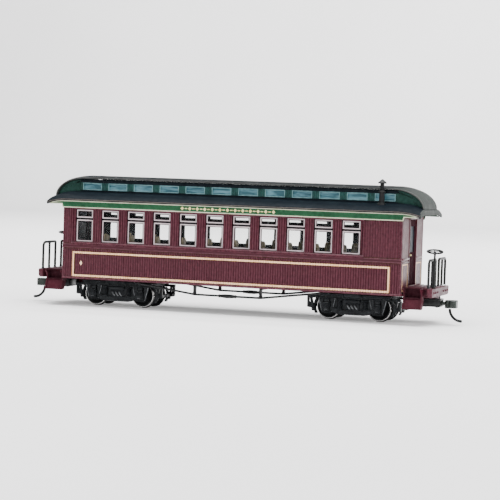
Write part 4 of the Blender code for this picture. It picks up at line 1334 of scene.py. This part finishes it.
def truck_highlights(kit):
    """Painted highlights: three leaning spring clips at the middle of each side and wire rims on the
    castings, light grey where the castings catch the light.
    """
    rim = [(4.65, 12.3), (4.35, 10.4), (3.65, 7.6), (2.8, 4.7)]
    for part in kit.sides():
        for place in (-2.1, 0.0, 2.1):
            clip = [(place - 0.85, 13.5, 9.2), (place - 0.45, 13.85, 8.5), (place + 0.45, 13.85, 7.2),
                    (place + 0.85, 13.5, 6.6)]
            part.tube(clip, 0.42, 8, [0.6, 1.0, 1.0, 0.6])
        for reach in BOTH:
            box = part.facing(shift=part.shift + reach * HALF_WHEELBASE)
            for leg in box.ends():
                leg.tube([(along, 13.5, up) for along, up in rim], 0.2, 6)
            box.tube([(-1.3, 15.15, 9.75), (1.3, 15.15, 9.75)], 0.2, 6)
            box.tube([(-0.9, 15.9, 6.1), (0.9, 15.9, 6.1)], 0.14, 6)
        for height, reach in ((3.75, 6.2), (14.65, 21.2)):
            part.tube([(-reach, 14.15, height), (reach, 14.15, height)], 0.14, 6)


def wheel(kit):
    """A turned wheel with a raised rim, a dished web and a hub."""
    inner, outer = 7.0, 10.0
    bore = 1.12
    profile = [
        (bore, outer + 0.2), (1.7, outer + 0.2), (1.9, outer), (2.15, outer - 0.55), (2.6, outer - 0.75),
        (4.9, outer - 0.75), (5.45, outer - 0.5), (5.65, outer - 0.08), (5.8, outer), (6.42, outer),
        (TREAD - 0.15, outer), (TREAD, outer - 0.15), (TREAD, inner + 1.15), (TREAD + 0.12, inner + 0.85),
        (FLANGE - 0.1, inner + 0.62), (FLANGE, inner + 0.4), (FLANGE - 0.08, inner + 0.08),
        (FLANGE - 0.3, inner), (5.6, inner), (5.2, inner + 0.5), (2.2, inner + 0.5), (1.8, inner),
        (bore, inner),
    ]
    kit.lathe(profile, (0.0, 0.0, AXLE_Z), "Y", 56)


def axle(kit):
    half = 12.2
    profile = [(0.0, half), (0.45, half), (0.62, half - 0.3), (1.05, 10.6), (1.1, 10.3), (1.1, 6.6),
               (1.45, 6.2), (1.3, 4.0), (1.0, 3.0)]
    profile += [(radius, -height) for radius, height in reversed(profile)]
    kit.lathe(profile, (0.0, 0.0, AXLE_Z), "Y", 24)


def build_trucks():
    def worn(centre, normal):
        radius = math.hypot(centre.x, centre.z - AXLE_Z)
        return 0 if 6.4 < radius < TREAD + 0.06 and centre.y > 7.9 else 1

    number = 0
    for label, end in ENDS.items():
        body = f"truck_{label}"
        middle = end * TRUCK_X
        make(f"truck_{label}", truck_frame, TRUCK, "truck", f"truck_frame_{label}", body, shift=middle)
        make(f"truck_highlights_{label}", truck_highlights, HIGHLIGHT_GREY, body=body, shift=middle)
        for reach in (1, -1):
            number += 1
            body = f"wheelset_{number}"
            shift = middle + end * reach * HALF_WHEELBASE
            make(f"axle_bar_{number}", axle, AXLE_STEEL, "steel", f"axle_{number}", body, shift=shift)
            for side_label, side in SIDES.items():
                make(f"wheel_disc_{number}_{side_label}", wheel, [NICKEL, WHEEL_FACE], "wheel",
                     f"wheel_{number}_{side_label}", body, side=side, shift=shift, choose=worn)


# ---------------------------------------------------------------- under the floor, and inside

def truss_rod(kit):
    """A rod bent over the queen posts, with a turnbuckle at its middle."""
    low, high = span("truss_rod_left")
    radius = 0.6
    height = low.z + 1.8 * radius
    end_x, end_z = high.x - 0.1, 15.2
    half = [(4.4, height), (QUEEN_X - 1.2, height)]
    for step in range(5):
        share = step / 4
        half.append((QUEEN_X - 0.8 + 1.6 * share, height + 0.11 * share * share))
    half.append((end_x, end_z))
    line = [(-along, up) for along, up in reversed(half)] + half
    kit.tube([(along, TRUSS_Y, up) for along, up in line], radius, 12)
    body = [(0.0, 4.9), (0.62, 4.9), (0.8, 4.3), (0.95, 3.2), (1.1, 1.6), (1.12, 0.0), (1.1, -1.6),
            (0.95, -3.2), (0.8, -4.3), (0.62, -4.9), (0.0, -4.9)]
    kit.lathe(body, (0.0, TRUSS_Y, height), "X", 14)
    for part in kit.ends():
        part.disc((4.4, TRUSS_Y, height), 0.95, 1.0, "X", 6)
        part.disc((end_x - 1.0, TRUSS_Y, end_z - 0.08), 0.95, 0.9, "X", 6)


def queen_beam(kit):
    low, high = span("queen_post_beam_front")
    middle = (low.x + high.x) / 2
    top = high.z
    thick = (middle - 0.8, middle + 0.8)
    kit.box(thick, (-high.y, high.y), (15.1, top), 0.15)
    post = [(0.8, low.z - 0.35), (0.8, 11.6), (0.65, 12.0), (0.7, top - 1.8), (0.8, top - 1.3),
            (0.8, top - 0.7)]
    pad_heights = (low.z - 0.25, low.z + 0.5)
    for part in kit.sides():
        part.prism("YZ", [(TRUSS_Y + across, up) for across, up in mirrored(post)], *thick)
        part.box((middle - 0.95, middle + 0.95), (TRUSS_Y - 0.8, TRUSS_Y + 0.8), pad_heights, 0.15)


def seats(kit):
    """Eleven walk-over seats: a rounded back, a crowned cushion and a base each."""
    low, high = span("seat_row_left")
    inner, outer = low.y, high.y
    top = high.z
    cushion = 29.0
    curve = 1.9
    middle_y, middle_z = (inner + outer) / 2, (cushion + top) / 2
    outline = [(inner, cushion - 3.0), (outer, cushion - 3.0)]
    outline += arc((outer - curve, top - curve), curve, 0, 90, 6)
    outline += arc((inner + curve, top - curve), curve, 90, 180, 6)
    kit.box((-87.0, 87.5), (inner, outer), (low.z, low.z + 1.0), 0.2)
    for seat in range(WINDOW_BAYS):
        back = (seat - (WINDOW_BAYS - 1) / 2) * BAY
        kit.box((back - 1.2, back + 7.3), (inner + 0.4, outer - 0.4), (low.z + 0.9, cushion - 2.2), 0.4)
        kit.box((back + 0.7, back + 7.9), (inner, outer), (cushion - 2.4, cushion), 0.9, 4)
        rings = []
        for offset, shrink in ((-1.6, 0.7), (-1.3, 0.2), (-1.0, 0.0), (2.1, 0.0), (2.45, 0.2), (2.7, 0.7)):
            rings.append([(back + offset, middle_y + (across - middle_y) * (1 - shrink / 6.3),
                           middle_z + (up - middle_z) * (1 - shrink / 7.6)) for across, up in outline])
        kit.loft(rings)


def floor_sills(kit):
    """Two sills under the floor, above a truck."""
    for part in kit.sides():
        part.box((40.0, 99.9), (8.6, 12.4), (15.12, 16.3), 0.12)


def build_inside():
    for label, side in SIDES.items():
        make(f"seats_{label}", seats, OLIVE, "seat", f"seat_row_{label}", side=side)
        make(f"truss_{label}", truss_rod, BLACK, "black_metal", f"truss_rod_{label}", side=side)
    for label, end in ENDS.items():
        make(f"queen_posts_{label}", queen_beam, BLACK, "black_metal", f"queen_post_beam_{label}", end=end)
        make(f"floor_sills_{label}", floor_sills, UNDERFRAME, "underframe", end=end)


# ---------------------------------------------------------------- studio

def camera():
    """The photograph's view: slightly above, from the front right."""
    azimuth, pitch, roll = (math.radians(angle) for angle in (18.394, -2.569, 1.901))
    look = Vector((-math.sin(azimuth) * math.cos(pitch), math.cos(azimuth) * math.cos(pitch),
                   math.sin(pitch)))
    level = Vector((math.cos(azimuth), math.sin(azimuth), 0.0))
    up = level.cross(look)
    across = math.cos(roll) * level + math.sin(roll) * up
    above = math.cos(roll) * up - math.sin(roll) * level
    data = bpy.data.cameras.new("camera")
    data.sensor_width = 36.0
    data.lens = 126.5
    data.clip_start = 0.01
    data.clip_end = 50.0
    seen = bpy.data.objects.new("camera", data)
    place = Matrix((across, above, -look)).transposed().to_4x4()
    place.translation = Vector((322.25, -953.05, 81.28)) * MM
    seen.matrix_world = place
    bpy.context.scene.collection.objects.link(seen)
    bpy.context.scene.camera = seen


def softbox(name, place, aim, size, power):
    data = bpy.data.lights.new(name, "AREA")
    data.shape = "RECTANGLE"
    data.size, data.size_y = size
    data.energy = power
    lamp = bpy.data.objects.new(name, data)
    lamp.location = place
    lamp.rotation_euler = (Vector(aim) - Vector(place)).to_track_quat("-Z", "Y").to_euler()
    bpy.context.scene.collection.objects.link(lamp)


def studio():
    """A pale sweep, a large overhead softbox and a dim front fill."""
    made = Finish("pale_floor", 0.9, specular=0.1)
    cloud = made.ramp(made.noise(0.004, 2.0), 0.0, 1.0)
    made.colour(made.blend(cloud, (0.86, 0.855, 0.86), (0.90, 0.895, 0.90)))
    made.bump(made.noise(0.8, 2.0), 0.02, 0.1)
    made.shader.inputs["Emission Color"].default_value = (1.0, 0.99, 0.98, 1.0)
    made.shader.inputs["Emission Strength"].default_value = 0.25
    shape = bmesh.new()
    depth, rise, wide, curve = 2.2, 0.45, 5.0, 0.35
    profile = [(-4.0, 0.0), (depth - curve, 0.0)]
    profile += [(depth - curve + curve * math.sin(angle), curve - curve * math.cos(angle))
                for angle in (math.radians(step * 10) for step in range(1, 10))]
    profile.append((depth, rise))
    rows = [[shape.verts.new((along, back, up)) for back, up in profile] for along in (-wide, wide)]
    for index in range(len(profile) - 1):
        shape.faces.new((rows[0][index], rows[1][index], rows[1][index + 1], rows[0][index + 1]))
    mesh = bpy.data.meshes.new("floor")
    shape.to_mesh(mesh)
    shape.free()
    mesh.shade_smooth()
    mesh.materials.append(made.material)
    floor = bpy.data.objects.new("floor", mesh)
    bpy.context.scene.collection.objects.link(floor)
    softbox("top_light", (0.0, -0.15, 1.5), (0.0, 0.0, 0.0), (1.6, 1.2), 62)
    softbox("right_light", (1.5, -0.5, 0.7), (0.0, 0.0, 0.04), (0.9, 0.9), 24)
    softbox("front_light", (-0.4, -1.6, 0.9), (0.0, 0.0, 0.03), (0.9, 0.7), 12)
    softbox("back_light", (0.0, 0.9, 1.3), (0.0, 1.9, 0.0), (2.4, 0.8), 60)
    world = bpy.data.worlds.new("studio_air")
    world.use_nodes = True
    world.node_tree.nodes["Background"].inputs["Color"].default_value = (0.82, 0.83, 0.86, 1.0)
    world.node_tree.nodes["Background"].inputs["Strength"].default_value = 0.28
    bpy.context.scene.world = world


# ---------------------------------------------------------------- assembly

build_sides()
build_roof()
build_ends()
build_platforms()
build_trucks()
build_inside()
studio()
camera()
